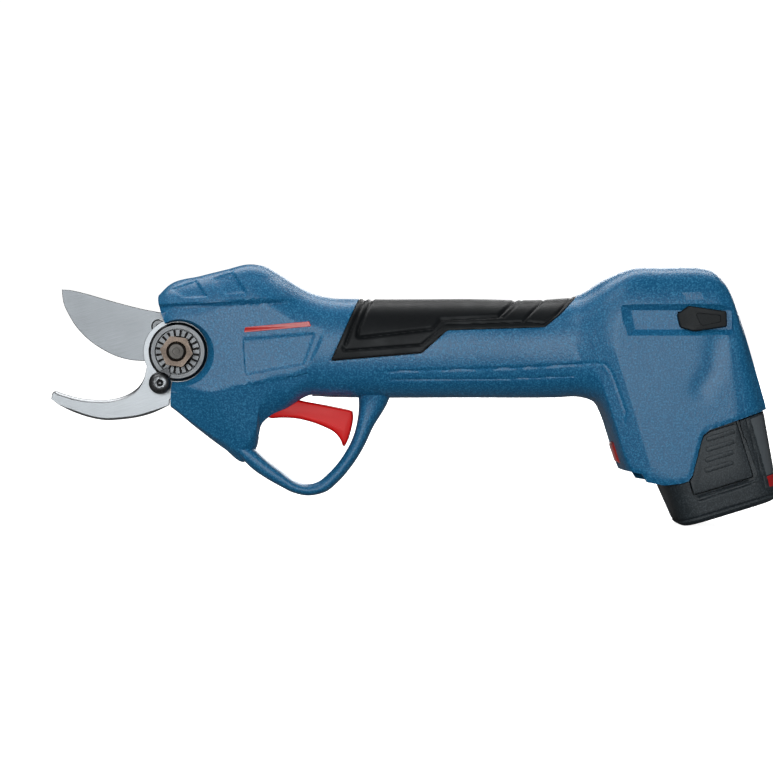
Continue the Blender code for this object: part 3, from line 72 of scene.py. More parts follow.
MM = 0.001

Point2 = tuple[float, float]
Points = Sequence[Point2]


def pivot_place() -> Vector:
    """The blade pivot in the frame, on the split plane: the middle of the cover disc.

    Returns:
        The point in metres.
    """
    low, high = (Vector(corner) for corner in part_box("cover_disc"))
    return Vector(((low.x + high.x) / 2, 0.0, (low.z + high.z) / 2))


PIVOT = pivot_place()


# ------------------------------------------------------------------ shader building


class Value:
    """A number socket of a shader tree that can be used in Python sums."""

    def __init__(self, tree: "Tree", socket: bpy.types.NodeSocket) -> None:
        """Keeps the tree and the socket.

        Args:
            tree: the shader tree being built.
            socket: the output that carries the number.
        """
        self.tree = tree
        self.socket = socket

    def _math(self, operation: str, *others: Any) -> "Value":
        """Adds one Math node fed by this value and others.

        Args:
            operation: the Math node's operation.
            others: its further inputs.

        Returns:
            The node's result.
        """
        values = {index + 1: other for index, other in enumerate(others)}
        node = self.tree.node("ShaderNodeMath", {"operation": operation}, {0: self, **values})
        return Value(self.tree, node.outputs[0])

    def __add__(self, other: Any) -> "Value":
        """This plus another."""
        return self._math("ADD", other)

    __radd__ = __add__

    def __mul__(self, other: Any) -> "Value":
        """This times another."""
        return self._math("MULTIPLY", other)

    __rmul__ = __mul__

    def __sub__(self, other: Any) -> "Value":
        """This less another."""
        return self._math("SUBTRACT", other)

    def __rsub__(self, other: Any) -> "Value":
        """Another less this."""
        return (self * -1.0) + other

    def above(self, level: float) -> "Value":
        """1 where this is over the level and 0 elsewhere."""
        return self._math("GREATER_THAN", level)

    def below(self, level: float) -> "Value":
        """1 where this is under the level and 0 elsewhere."""
        return self._math("LESS_THAN", level)

    def sine(self) -> "Value":
        """The sine of this, in radians."""
        return self._math("SINE")

    def angle_from(self, other: "Value") -> "Value":
        """The angle whose tangent is this over another."""
        return self._math("ARCTAN2", other)

    def root(self) -> "Value":
        """The square root of this."""
        return self._math("SQRT")

    def spread(self, low: float, high: float, to_low: float = 0.0, to_high: float = 1.0) -> "Value":
        """This taken from one range to another, clamped and eased at both ends.

        Args:
            low: the value that becomes to_low.
            high: the value that becomes to_high.
            to_low: start of the new range.
            to_high: end of the new range.

        Returns:
            The mapped value.
        """
        node = self.tree.node(
            "ShaderNodeMapRange", {"interpolation_type": "SMOOTHSTEP"},
            {"Value": self, "From Min": low, "From Max": high, "To Min": to_low, "To Max": to_high})
        return Value(self.tree, node.outputs["Result"])


class Tree:
    """The node tree of one material, with its Principled shader."""

    def __init__(self, name: str) -> None:
        """Makes an empty material of that name.

        Args:
            name: the material's name.
        """
        self.material = bpy.data.materials.new(name)
        self.material.use_nodes = True
        self.tree = self.material.node_tree
        self.shader = self.tree.nodes["Principled BSDF"]

    def node(self, kind: str, settings: dict[str, Any] | None = None,
             sockets: dict[Any, Any] | None = None) -> bpy.types.Node:
        """Adds any node.

        Args:
            kind: the node's type.
            settings: its properties; a ramp's stops go under "stops" as (place, colour).
            sockets: numbers, colours or links by the input's name or index.

        Returns:
            The node.
        """
        made = self.tree.nodes.new(kind)
        for key, value in (settings or {}).items():
            if key == "stops":
                ramp = made.color_ramp
                while len(ramp.elements) < len(value):
                    ramp.elements.new(0.5)
                for element, (place, colour) in zip(ramp.elements, value):
                    element.position = place
                    element.color = (*colour, 1.0)
            else:
                setattr(made, key, value)
        for key, value in (sockets or {}).items():
            if isinstance(value, Value):
                self.tree.links.new(value.socket, made.inputs[key])
            elif isinstance(value, bpy.types.NodeSocket):
                self.tree.links.new(value, made.inputs[key])
            else:
                made.inputs[key].default_value = value
        return made

    def place(self) -> bpy.types.NodeSocket:
        """The surface point, in metres."""
        return self.node("ShaderNodeTexCoord").outputs["Object"]

    def axes(self, centre: Vector | None = None) -> tuple[Value, Value, Value]:
        """The surface point's X, Y and Z from a centre.

        Args:
            centre: the point to measure from, the pivot if left out.

        Returns:
            The three values, in millimetres.
        """
        split = self.node("ShaderNodeSeparateXYZ", None, {0: self.place()})
        start = PIVOT if centre is None else centre
        return tuple((Value(self, split.outputs[i]) - start[i]) * 1000.0 for i in range(3))

    def noise(self, scale: float, detail: float = 2.0, roughness: float = 0.5,
              where: bpy.types.NodeSocket | None = None, stretch: Sequence[float] | None = None) -> Value:
        """Noise from 0 to 1.

        Args:
            scale: waves for each metre.
            detail: how many finer layers it has.
            roughness: how strong the finer layers are.
            where: the point to read, the surface point if left out.
            stretch: a scale for each axis.

        Returns:
            The noise value.
        """
        vector = where or self.place()
        if stretch:
            vector = self.node("ShaderNodeMapping", None, {"Vector": vector,
                "Scale": tuple(stretch)}).outputs[0]
        node = self.node("ShaderNodeTexNoise", None, {"Vector": vector, "Scale": scale, "Detail": detail,
            "Roughness": roughness})
        return Value(self, node.outputs["Fac"])

    def cells(self, scale: float) -> Value:
        """Distance to the middle of the nearest of many small cells."""
        node = self.node("ShaderNodeTexVoronoi", None, {"Vector": self.place(), "Scale": scale})
        return Value(self, node.outputs["Distance"])

    def mix(self, share: Any, first: Any, second: Any) -> bpy.types.NodeSocket:
        """A colour between two.

        Args:
            share: how much of the second, from 0 to 1.
            first: a colour or a colour socket.
            second: a colour or a colour socket.

        Returns:
            The mixed colour's socket.
        """
        node = self.node("ShaderNodeMix", {"data_type": "RGBA"})
        for index, value in ((0, share), (6, first), (7, second)):
            target = node.inputs[index]
            if isinstance(value, Value):
                self.tree.links.new(value.socket, target)
            elif isinstance(value, bpy.types.NodeSocket):
                self.tree.links.new(value, target)
            else:
                target.default_value = value if index == 0 else (*value, 1.0)
        return node.outputs[2]

    def feed(self, name: str, source: Any) -> None:
        """Links a value or a socket to the shader, or sets a constant there.

        Args:
            name: the shader's socket.
            source: what feeds it.
        """
        target = self.shader.inputs[name]
        if isinstance(source, Value):
            self.tree.links.new(source.socket, target)
        elif isinstance(source, bpy.types.NodeSocket):
            self.tree.links.new(source, target)
        else:
            target.default_value = source

    def bump(self, height: Value, depth: float, strength: float = 1.0) -> None:
        """Feeds the shader's normal with a height.

        Args:
            height: 0 to 1 over the surface.
            depth: the height's real depth in millimetres.
            strength: how much of it shows.
        """
        node = self.node("ShaderNodeBump", None, {"Height": height, "Distance": depth * MM,
            "Strength": strength})
        self.tree.links.new(node.outputs["Normal"], self.shader.inputs["Normal"])

    def worn_edges(self, radius: float) -> Value:
        """About 0 on flats and 1 on edges that stick out.

        Args:
            radius: how wide the edge reads, in millimetres.

        Returns:
            The edge value.
        """
        bevel = self.node("ShaderNodeBevel", {"samples": 4}, {"Radius": radius * MM})
        normal = self.node("ShaderNodeNewGeometry").outputs["Normal"]
        turn = self.node("ShaderNodeVectorMath", {"operation": "DOT_PRODUCT"},
            {0: bevel.outputs[0], 1: normal})
        return (1.0 - Value(self, turn.outputs["Value"])).spread(0.02, 0.22)


Colour = tuple[float, float, float]


def from_screen(red: int, green: int, blue: int) -> Colour:
    """A linear colour from screen levels of 0 to 255.

    Args:
        red: level of red.
        green: level of green.
        blue: level of blue.

    Returns:
        The linear colour.
    """
    levels = (value / 255 for value in (red, green, blue))
    return tuple(v / 12.92 if v <= 0.04045 else ((v + 0.055) / 1.055) ** 2.4 for v in levels)


@dataclass(frozen=True)
class Finish:
    """A finish that builds its own material."""

    name: str

    def build(self) -> bpy.types.Material:
        """Makes the material. Each kind of finish has its own."""
        raise NotImplementedError

    def material(self) -> bpy.types.Material:
        """The material, made once."""
        return bpy.data.materials.get(self.name) or self.build()


@dataclass(frozen=True)
class MouldedPlastic(Finish):
    """Injection-moulded plastic with a spark-eroded grain and rubbed edges."""

    colour: Colour = (0.1, 0.1, 0.1)
    light: Colour = (0.2, 0.2, 0.2)
    roughness: float = 0.42
    grain: float = 2600.0
    depth: float = 0.035
    specks: float = 0.35
    wear: float = 0.35
    shine: float = 0.5

    def build(self) -> bpy.types.Material:
        """Grain from fine cells and noise, broad mottling, and lighter rubbed edges.

        Returns:
            The finished material.
        """
        tree = Tree(self.name)
        fine = tree.noise(self.grain, 2.0, 0.6)
        cells = tree.cells(self.grain * 0.8)
        broad = tree.noise(38.0, 3.0)
        edge = tree.worn_edges(0.45) * tree.noise(420.0, 2.0).spread(0.35, 0.65)
        grainy = tree.mix((fine.spread(0.42, 0.72) * self.specks + broad * 0.12), self.colour, self.light)
        tree.feed("Base Color", tree.mix(edge * self.wear, grainy, self.light))
        tree.feed("Roughness", (fine - 0.5) * 0.22 + (broad - 0.5) * 0.10 + self.roughness)
        tree.feed("Specular IOR Level", self.shine)
        tree.bump(fine * 0.7 + (1.0 - cells) * 0.3, self.depth)
        return tree.material


@dataclass(frozen=True)
class SoftGrip(Finish):
    """Overmoulded rubber: matt, finely pebbled, dusty on its high spots."""

    colour: Colour = (0.012, 0.013, 0.014)
    dust: Colour = (0.075, 0.078, 0.082)
    roughness: float = 0.60

    def build(self) -> bpy.types.Material:
        """Fine pebbles, with a little dust and polish where fingers rub.

        Returns:
            The finished material.
        """
        tree = Tree(self.name)
        pebble = tree.cells(1900.0)
        fine = tree.noise(3600.0, 2.0)
        dust = tree.noise(90.0, 4.0).spread(0.42, 0.70)
        edge = tree.worn_edges(0.4)
        base = tree.mix(dust * 0.16 + fine * 0.10, self.colour, self.dust)
        tree.feed("Base Color", tree.mix(edge * 0.25, base, self.dust))
        tree.feed("Roughness", fine * 0.12 - dust * 0.08 + (self.roughness - 0.06))
        tree.feed("Specular IOR Level", 0.22)
        tree.bump((1.0 - pebble) * 0.6 + fine * 0.4, 0.05)
        return tree.material


class Streaks(Enum):
    """How a metal piece was finished."""

    LENGTHWISE = "along the blade"
    ROUND = "turned about the pivot"
    NONE = "tumbled"


@dataclass(frozen=True)
class Steel(Finish):
    """Ground, turned or tumbled metal."""

    colour: Colour = (0.55, 0.56, 0.58)
    dark: Colour = (0.30, 0.31, 0.33)
    roughness: float = 0.3
    streaks: Streaks = Streaks.NONE
    depth: float = 0.012
    grime: float = 0.25
    bright_edges: float = 0.5
    unevenness: float = 0.12

    def _scratches(self, tree: Tree) -> Value:
        """The machining marks' height, from 0 to 1.

        Args:
            tree: the material's tree.

        Returns:
            The marks as a value.
        """
        if self.streaks is Streaks.LENGTHWISE:
            x, _, z = tree.axes()
            bent = tree.node("ShaderNodeCombineXYZ", None, {
                0: x * 0.0006 + z * 0.00025, 1: 0.0, 2: z * 0.022 - x * 0.006})
            return tree.noise(160.0, 4.0, 0.7, bent.outputs[0])
        if self.streaks is Streaks.ROUND:
            x, _, z = tree.axes()
            radius = (x * x + z * z).root()
            turn = tree.node("ShaderNodeCombineXYZ", None, {0: radius * 0.03, 1: z.angle_from(x) * 0.004,
                2: 0.0})
            return tree.noise(150.0, 3.0, 0.65, turn.outputs[0])
        return tree.noise(1500.0, 3.0, 0.6)

    def build(self) -> bpy.types.Material:
        """Machining marks in colour, gloss and height, stains, and edges rubbed bright.

        Returns:
            The finished material.
        """
        tree = Tree(self.name)
        marks = self._scratches(tree)
        stain = tree.noise(110.0, 4.0).spread(0.40, 0.75)
        edge = tree.worn_edges(0.3)
        base = tree.mix(marks.spread(0.3, 0.7), self.dark, self.colour)
        stained = tree.mix(stain * self.grime, base, self.dark)
        lit = tuple(min(1.0, c * 1.5 + 0.05) for c in self.colour)
        tree.feed("Base Color", tree.mix(edge * self.bright_edges, stained, lit))
        tree.feed("Metallic", 1.0)
        tree.feed("Roughness", (marks - 0.5) * self.unevenness + stain * self.grime * 0.3 + self.roughness)
        tree.bump(marks, self.depth)
        return tree.material


@dataclass(frozen=True)
class Gloss(Finish):
    """Smooth printed film, lens or sleeve."""

    colour: Colour = (0.05, 0.05, 0.05)
    shade: Colour = (0.02, 0.02, 0.02)
    roughness: float = 0.22
    coat: float = 0.5
    glow: Colour | None = None

    def build(self) -> bpy.types.Material:
        """A clear film over a faintly uneven print, with fine scuffs.

        Returns:
            The finished material.
        """
        tree = Tree(self.name)
        broad = tree.noise(60.0, 3.0)
        scuff = tree.noise(500.0, 4.0, 0.7, stretch=(1.0, 1.0, 0.15)).spread(0.55, 0.75)
        tree.feed("Base Color", tree.mix(broad, self.shade, self.colour))
        tree.feed("Roughness", scuff * 0.25 + self.roughness)
        tree.feed("Coat Weight", scuff * -0.3 + self.coat)
        if self.glow:
            tree.feed("Emission Color", tree.mix(broad, self.shade, self.glow))
            tree.feed("Emission Strength", 0.35)
        tree.bump(tree.noise(240.0, 2.0), 0.02, 0.5)
        return tree.material


@dataclass(frozen=True)
class BoardFinish(Finish):
    """A lacquered circuit board with copper lands."""

    def build(self) -> bpy.types.Material:
        """Green lacquer with tracks in rows and bright solder lands.

        Returns:
            The finished material.
        """
        tree = Tree(self.name)
        x, y, _ = tree.axes()
        track = ((x * 2.4).sine() * (y * 1.7).sine()).above(0.35)
        land = tree.cells(420.0).below(0.12)
        green = tree.mix(tree.noise(200.0), from_screen(16, 72, 40), from_screen(24, 96, 52))
        tree.feed("Base Color", tree.mix(land, tree.mix(track * 0.5, green, from_screen(60, 130, 70)),
            (0.72, 0.66, 0.52)))
        tree.feed("Metallic", land)
        tree.feed("Roughness", 0.38 - land * 0.1)
        tree.bump(track * 0.5 + land, 0.04)
        return tree.material


BLUE = (0.0020, 0.122, 0.290)
BLUE_LIGHT = (0.058, 0.345, 0.62)


class Finishes:
    """Every finish of the pruner, by what wears it."""

    body = MouldedPlastic("body_blue_grained", BLUE, BLUE_LIGHT, 0.37, 1350.0, 0.15, 0.80, 0.22)
    grip = SoftGrip("grip_soft_black", (0.004, 0.0055, 0.0065), (0.03, 0.034, 0.038), 0.50)
    trigger = MouldedPlastic("trigger_red_satin", from_screen(252, 14, 16), from_screen(255, 52, 42), 0.40,
        2400.0, 0.03, 0.22, 0.2, 0.28)
    knob = MouldedPlastic("knob_black_satin", from_screen(10, 14, 16), from_screen(56, 62, 66), 0.50,
        2200.0, 0.05, 0.22, 0.35, 0.3)
    pack = MouldedPlastic("pack_black_grained", from_screen(34, 41, 45), from_screen(98, 108, 114), 0.50,
        1500.0, 0.09, 0.40, 0.40)
    blade = Steel("blade_ground", (0.235, 0.245, 0.256), (0.17, 0.178, 0.186), 0.40, Streaks.LENGTHWISE,
        0.012, 0.05, 0.6, 0.22)
    hook = Steel("hook_ground", (0.36, 0.372, 0.385), (0.29, 0.30, 0.31), 0.40, Streaks.LENGTHWISE, 0.012,
        0.04, 0.6, 0.22)
    disc = Steel("disc_turned", (0.15, 0.153, 0.157), (0.075, 0.077, 0.08), 0.34, Streaks.ROUND, 0.02,
        0.20, 0.8, 0.2)
    ring = Steel("lock_ring_turned", (0.34, 0.34, 0.34), (0.15, 0.15, 0.15), 0.38, Streaks.ROUND, 0.02,
        0.35, 0.8)
    # Near-black hub colour: painted shade for the floor of the slots between the lock ring's teeth.
    slot_shade = Steel("hub_painted_shade", (0.035, 0.033, 0.032), (0.015, 0.014, 0.014), 0.55, Streaks.ROUND, 0.02, 0.3,
        0.2)
    nut = Steel("nut_bronze_tint", (0.20, 0.155, 0.125), (0.11, 0.085, 0.07), 0.42, Streaks.NONE, 0.02,
        0.3, 0.7)
    bolt = Steel("bolt_oxide", (0.15, 0.14, 0.13), (0.06, 0.055, 0.05), 0.42, Streaks.ROUND, 0.03, 0.3, 0.6)
    chrome = Steel("screw_bright", (0.20, 0.205, 0.21), (0.09, 0.092, 0.095), 0.30, Streaks.NONE, 0.004,
        0.15, 0.35, 0.06)
    oxide = Steel("steel_oxide", (0.12, 0.12, 0.125), (0.05, 0.05, 0.052), 0.40, Streaks.NONE, 0.02, 0.3, 0.6)
    gear = Steel("gear_hardened", (0.40, 0.41, 0.42), (0.22, 0.225, 0.23), 0.30, Streaks.NONE, 0.01, 0.3, 0.6)
    cast = Steel("cast_alloy", (0.50, 0.51, 0.52), (0.32, 0.325, 0.33), 0.48, Streaks.NONE, 0.05, 0.2, 0.4)
    bronze = Steel("bronze_sintered", (0.50, 0.33, 0.14), (0.28, 0.18, 0.08), 0.40, Streaks.NONE, 0.03,
        0.3, 0.4)
    label = Gloss("label_film", from_screen(112, 118, 122), from_screen(92, 98, 102), 0.26, 0.6)
    stripe = Gloss("label_red", from_screen(224, 34, 36), from_screen(190, 20, 24), 0.30, 0.5)
    lens = Gloss("lens_red", from_screen(120, 14, 16), from_screen(40, 6, 8), 0.15, 1.0,
        glow=(1.0, 0.05, 0.03))
    accent = Gloss("accent_red", from_screen(226, 44, 40), from_screen(205, 30, 30), 0.35, 0.3)
    board = BoardFinish("board_green_lacquer")
    sleeve = Gloss("cell_sleeve", from_screen(20, 96, 128), from_screen(12, 62, 88), 0.30, 0.4)
    wire_red = Gloss("wire_red_silicone", from_screen(178, 24, 22), from_screen(130, 14, 14), 0.45, 0.0)
    wire_black = Gloss("wire_black_silicone", from_screen(26, 26, 28), from_screen(12, 12, 13), 0.45, 0.0)
    contact = MouldedPlastic("contact_black", from_screen(20, 21, 22), from_screen(60, 62, 64), 0.5,
        1800.0, 0.04, 0.2, 0.3)


# The finish of each of the frame's own pieces, by the record's slot.
SLOT_FINISH: dict[str, Finish] = {
    "body_blue": Finishes.body, "grip_black": Finishes.contact, "trigger_red": Finishes.trigger,
    "blade_steel": Finishes.blade, "dark_steel": Finishes.oxide, "nut_bronze": Finishes.nut,
    "battery_black": Finishes.pack, "aluminium": Finishes.cast, "gear_steel": Finishes.gear,
    "bronze": Finishes.bronze, "copper": Finishes.bronze, "board_green": Finishes.board,
    "wire_red": Finishes.wire_red, "wire_black": Finishes.wire_black, "cell_wrap": Finishes.sleeve,
    "lens_smoke": Finishes.lens,
}


# ------------------------------------------------------------------ flat geometry


def spline(points: Points, per_mm: float = 1.2, closed: bool = True) -> np.ndarray:
    """A smooth curve through points, evenly filled.

    Args:
        points: the points it passes.
        per_mm: new points for each millimetre.
        closed: whether it returns to its start.

    Returns:
        An array of (x, z).
    """
    given = np.array(points, float)
    count = len(given)
    made = []
    for i in range(count if closed else count - 1):
        if closed:
            before, start, end, after = (given[(i + k) % count] for k in (-1, 0, 1, 2))
        else:
            before, start, end, after = (given[min(max(i + k, 0), count - 1)] for k in (-1, 0, 1, 2))
        steps = max(1, int(np.linalg.norm(end - start) * per_mm))
        for t in np.arange(steps) / steps:
            made.append(0.5 * (2 * start + (end - before) * t + (2 * before - 5 * start + 4 * end - after)
                * t**2 + (3 * start - before - 3 * end + after) * t**3))
    if not closed:
        made.append(given[-1])
    return np.array(made)


def arc(centre: Point2, radius: float, start: float, end: float, steps: int) -> list[Point2]:
    """Points on an arc.

    Args:
        centre: its middle.
        radius: its radius.
        start: first angle in degrees.
        end: last angle in degrees.
        steps: how many pieces it has.

    Returns:
        The points, both ends included.
    """
    angles = np.radians(np.linspace(start, end, steps + 1))
    return [(centre[0] + radius * math.cos(a), centre[1] + radius * math.sin(a)) for a in angles]


def rounded(points: Points, radius: float, steps: int = 4) -> list[Point2]:
    """A closed outline with each corner rounded.

    Args:
        points: its corners.
        radius: the most that a corner is rounded by.
        steps: pieces in each corner.

    Returns:
        The rounded outline.
    """
    made: list[Point2] = []
    for i, corner in enumerate(points):
        here = np.array(corner)
        before, after = np.array(points[i - 1]), np.array(points[(i + 1) % len(points)])
        back, on = before - here, after - here
        reach = min(radius, 0.45 * np.linalg.norm(back), 0.45 * np.linalg.norm(on))
        start, end = here + back / np.linalg.norm(back) * reach, here + on / np.linalg.norm(on) * reach
        for t in np.linspace(0, 1, steps + 1):
            made.append(tuple((1 - t) ** 2 * start + 2 * t * (1 - t) * here + t**2 * end))
    return made


def inset(outline: np.ndarray, by: float | np.ndarray) -> np.ndarray:
    """A closed outline moved inwards.

    Args:
        outline: (x, z) points, either way round.
        by: the distance, one for all or one for each point.

    Returns:
        The moved points.
    """
    ahead = np.roll(outline, -1, axis=0) - outline
    back = outline - np.roll(outline, 1, axis=0)
    ahead /= np.maximum(np.linalg.norm(ahead, axis=1, keepdims=True), 1e-9)
    back /= np.maximum(np.linalg.norm(back, axis=1, keepdims=True), 1e-9)
    along = ahead + back
    along /= np.maximum(np.linalg.norm(along, axis=1, keepdims=True), 1e-9)
    area = np.sum(outline[:, 0] * np.roll(outline[:, 1], -1) - np.roll(outline[:, 0], -1) * outline[:, 1])
    inward = np.stack([-along[:, 1], along[:, 0]], axis=1) * (1 if area > 0 else -1)
    return outline + inward * np.reshape(by, (-1, 1))


def distance_to_path(x: np.ndarray, z: np.ndarray, path: Points, closed: bool = False) -> np.ndarray:
    """The distance of each point to a path of straight pieces.

    Args:
        x: the points' X.
        z: the points' Z.
        path: the path's corners.
        closed: whether it returns to its start.

    Returns:
        Distances shaped like x.
    """
    best = np.full(x.shape, 1e9)
    corners = list(path) + ([path[0]] if closed else [])
    for (ax, az), (bx, bz) in zip(corners, corners[1:]):
        dx, dz = bx - ax, bz - az
        t = np.clip(((x - ax) * dx + (z - az) * dz) / max(dx * dx + dz * dz, 1e-12), 0, 1)
        best = np.minimum(best, np.hypot(x - ax - t * dx, z - az - t * dz))
    return best


def inside(x: np.ndarray, z: np.ndarray, outline: Points) -> np.ndarray:
    """Whether each point is inside a closed outline.

    Args:
        x: the points' X.
        z: the points' Z.
        outline: the corners.

    Returns:
        True and False shaped like x.
    """
    found = np.zeros(x.shape, bool)
    corners = list(outline)
    for (ax, az), (bx, bz) in zip(corners, corners[1:] + corners[:1]):
        crosses = ((az > z) != (bz > z)) & (x < (bx - ax) * (z - az) / ((bz - az) or 1e-12) + ax)
        found ^= crosses
    return found


def depth_inside(x: np.ndarray, z: np.ndarray, outline: Points) -> np.ndarray:
    """The distance to an outline's edge, positive inside and negative outside."""
    away = distance_to_path(x, z, outline, closed=True)
    return np.where(inside(x, z, outline), away, -away)


def ease(value: np.ndarray, low: float, high: float) -> np.ndarray:
    """0 up to low, 1 from high, eased between."""
    t = np.clip((value - low) / (high - low), 0, 1)
    return t * t * (3 - 2 * t)


def squared(turns: np.ndarray, power: float | np.ndarray) -> tuple[np.ndarray, np.ndarray]:
    """The cosine and sine of turns, pushed out towards a square's corners by a power under 1."""
    flat, up = np.cos(turns), np.sin(turns)
    return np.sign(flat) * np.abs(flat) ** power, np.sign(up) * np.abs(up) ** power


def evened(points: np.ndarray, count: int) -> np.ndarray:
    """Points spread evenly along a closed path.

    Args:
        points: the path, which ends where it starts.
        count: how many points are wanted.

    Returns:
        The new points.
    """
    length = np.concatenate([[0], np.cumsum(np.linalg.norm(np.diff(points, axis=0), axis=1))])
    even = np.arange(count) * length[-1] / count
    return np.stack([np.interp(even, length, part) for part in points.T], axis=-1)


def soft_least(first: np.ndarray, second: np.ndarray, blend: float) -> np.ndarray:
    """The smaller of two, with the corner between them rounded over a blend width."""
    share = np.clip(0.5 + (second - first) / (2 * blend), 0, 1)
    return second * (1 - share) + first * share - blend * share * (1 - share)


# ------------------------------------------------------------------ mesh building


class Workshop:
    """Makes and cuts meshes whose coordinates are the frame's own."""

    @staticmethod
    def piece(name: str, verts: Iterable[Sequence[float]],
            faces: Iterable[Sequence[int]]) -> bpy.types.Object:
        """An object from points in millimetres from the pivot.

        Args:
            name: its name.
            verts: its points.
            faces: its faces, as point numbers.

        Returns:
            The object, its faces turned outwards.
        """
        points = np.asarray(list(verts) if not isinstance(verts, np.ndarray) else verts,
            float) * MM + np.array(PIVOT)
        mesh = bpy.data.meshes.new(name)
        mesh.from_pydata(points.tolist(), [], [tuple(face) for face in faces])
        bm = bmesh.new()
        bm.from_mesh(mesh)
        bmesh.ops.recalc_face_normals(bm, faces=bm.faces)
        bm.to_mesh(mesh)
        bm.free()
        obj = bpy.data.objects.new(name, mesh)
        bpy.context.scene.collection.objects.link(obj)
        return obj

    @classmethod
    def skin(cls, name: str, rings: np.ndarray) -> bpy.types.Object:
        """A closed skin over rings of equal length.

        Args:
            name: its name.
            rings: an array of (rings, points, 3).

        Returns:
            The object.
        """
        count, around = rings.shape[:2]
        index = np.arange(count * around).reshape(count, around)
        a, b = index[:-1], index[1:]
        quads = np.stack([a, np.roll(a, -1, axis=1), np.roll(b, -1, axis=1), b], axis=-1).reshape(-1, 4)
        faces = quads.tolist() + [index[0].tolist(), index[-1].tolist()]
        return cls.piece(name, rings.reshape(-1, 3), faces)

    @classmethod
    def slab(cls, name: str, outline: Points | np.ndarray, y_low: float, y_high: float) -> bpy.types.Object:
        """A flat piece with an outline in X and Z between two Y faces.

        Args:
            name: the object's name.
            outline: points in X and Z, in order.
            y_low: the lower face's Y.
            y_high: the upper face's Y.

        Returns:
            The object.
        """
        flat = np.asarray(outline, float)
        rings = np.stack([np.insert(flat, 1, y, axis=1) for y in (y_low, y_high)])
        return cls.skin(name, rings)

    @classmethod
    def layers(cls, name: str, outline: np.ndarray, levels: Sequence[tuple[float, Any]]) -> bpy.types.Object:
        """A piece from one outline at several Y levels, inset by a distance at each.

        Args:
            name: its name.
            outline: (x, z) points.
            levels: (y, inset) pairs; an inset may be an array with one for each point.

        Returns:
            The object.
        """
        rings = [np.insert(inset(outline, by), 1, y, axis=1) for y, by in levels]
        return cls.skin(name, np.stack(rings))

    @classmethod
    def turned(cls, name: str, profile: Points, centre: Point2 = (0.0, 0.0),
            sides: int = 72) -> bpy.types.Object:
        """A round piece about a line along Y.

        Args:
            name: its name.
            profile: closed (radius, y) section.
            centre: the line's X and Z.
            sides: how many sides it has.

        Returns:
            The object.
        """
        angles = np.arange(sides) * math.tau / sides
        radius, height = np.array(profile, float).T
        rings = np.stack([
            np.stack([centre[0] + radius * math.cos(a), height, centre[1] + radius * math.sin(a)], axis=-1)
            for a in angles])
        count = len(profile)
        index = np.arange(sides * count).reshape(sides, count)
        after = np.roll(index, -1, axis=0)
        quads = np.stack([index, np.roll(index, -1, axis=1), np.roll(after, -1, axis=1), after], axis=-1)
        obj = cls.piece(name, rings.reshape(-1, 3), quads.reshape(-1, 4).tolist())
        cls.weld(obj)
        return obj

    @staticmethod
    def weld(obj: bpy.types.Object, within: float = 0.0005) -> None:
        """Merges points that lie within a distance in millimetres and turns faces outwards.

        Args:
            obj: the object to clean.
            within: the merging distance.
        """
        bm = bmesh.new()
        bm.from_mesh(obj.data)
        bmesh.ops.remove_doubles(bm, verts=bm.verts, dist=within * MM)
        bmesh.ops.dissolve_degenerate(bm, edges=bm.edges, dist=1e-9)
        bmesh.ops.recalc_face_normals(bm, faces=bm.faces)
        bm.to_mesh(obj.data)
        bm.free()

    @classmethod
    def rod(cls, name: str, radius: float, y_low: float, y_high: float, centre: Point2 = (0.0, 0.0),
            far_radius: float | None = None, sides: int = 72) -> bpy.types.Object:
        """A cylinder or cone along Y."""
        far = radius if far_radius is None else far_radius
        return cls.turned(name, [(0, y_low), (radius, y_low), (far, y_high), (0, y_high)], centre, sides)

    @classmethod
    def barrel(cls, name: str, radius: float, x_low: float, x_high: float,
            sides: int = 64) -> bpy.types.Object:
        """A cylinder along X through the pivot's height.

        Args:
            name: the object's name.
            radius: its radius.
            x_low: where it starts.
            x_high: where it ends.
            sides: how many sides it has.

        Returns:
            The object.
        """
        angles = np.arange(sides) * math.tau / sides
        rings = np.stack([np.stack([np.full(sides, x), radius * np.cos(angles), radius * np.sin(angles)],
            axis=-1) for x in (x_low, x_high)])
        return cls.skin(name, rings)

    @staticmethod
    def settle(obj: bpy.types.Object) -> None:
        """Applies every modifier of the object to its mesh.

        Args:
            obj: the object whose modifiers are applied.
        """
        graph = bpy.context.evaluated_depsgraph_get()
        mesh = bpy.data.meshes.new_from_object(obj.evaluated_get(graph))
        obj.modifiers.clear()
        old, obj.data = obj.data, mesh
        bpy.data.meshes.remove(old)

    @classmethod
    def carve(cls, obj: bpy.types.Object, cutters: Sequence[bpy.types.Object], operation: str = "DIFFERENCE",
              keep: bool = False) -> bpy.types.Object:
        """Cuts, joins or keeps the common part, one cutter after another, and applies the result.

        Args:
            obj: the piece that changes.
            cutters: the other shapes.
            operation: the Boolean's name.
            keep: whether the cutters are used again.

        Returns:
            The piece.
        """
        for cutter in cutters:
            modifier = obj.modifiers.new("shape", "BOOLEAN")
            modifier.operation = operation
            modifier.object = cutter
            modifier.solver = "MANIFOLD"
        cls.settle(obj)
        if not keep:
            for cutter in cutters:
                bpy.data.objects.remove(cutter)
        return obj

    @classmethod
    def dress(cls, obj: bpy.types.Object, finish: Finish, body: str, replaced: Sequence[str] = (),
              slot: str | None = None, angle: float = 30.0) -> bpy.types.Object:
        """Shades a finished piece, gives it its finish, and puts it on a body.

        Args:
            obj: the piece.
            finish: what it wears.
            body: the body that carries it.
            replaced: the frame's nodes it stands for.
            slot: the record's slot; not used.
            angle: edges sharper than this stay sharp.

        Returns:
            The piece.
        """
        obj.data.materials.clear()
        obj.data.materials.append(finish.material())
        obj.data.shade_smooth()
        obj.data.set_sharp_from_angle(angle=math.radians(angle))
        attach(obj, body)
        if replaced:
            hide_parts(*replaced)
        LOG.info("%s: %d faces on %s", obj.name, len(obj.data.polygons), body)
        return obj


# ------------------------------------------------------------------ housing


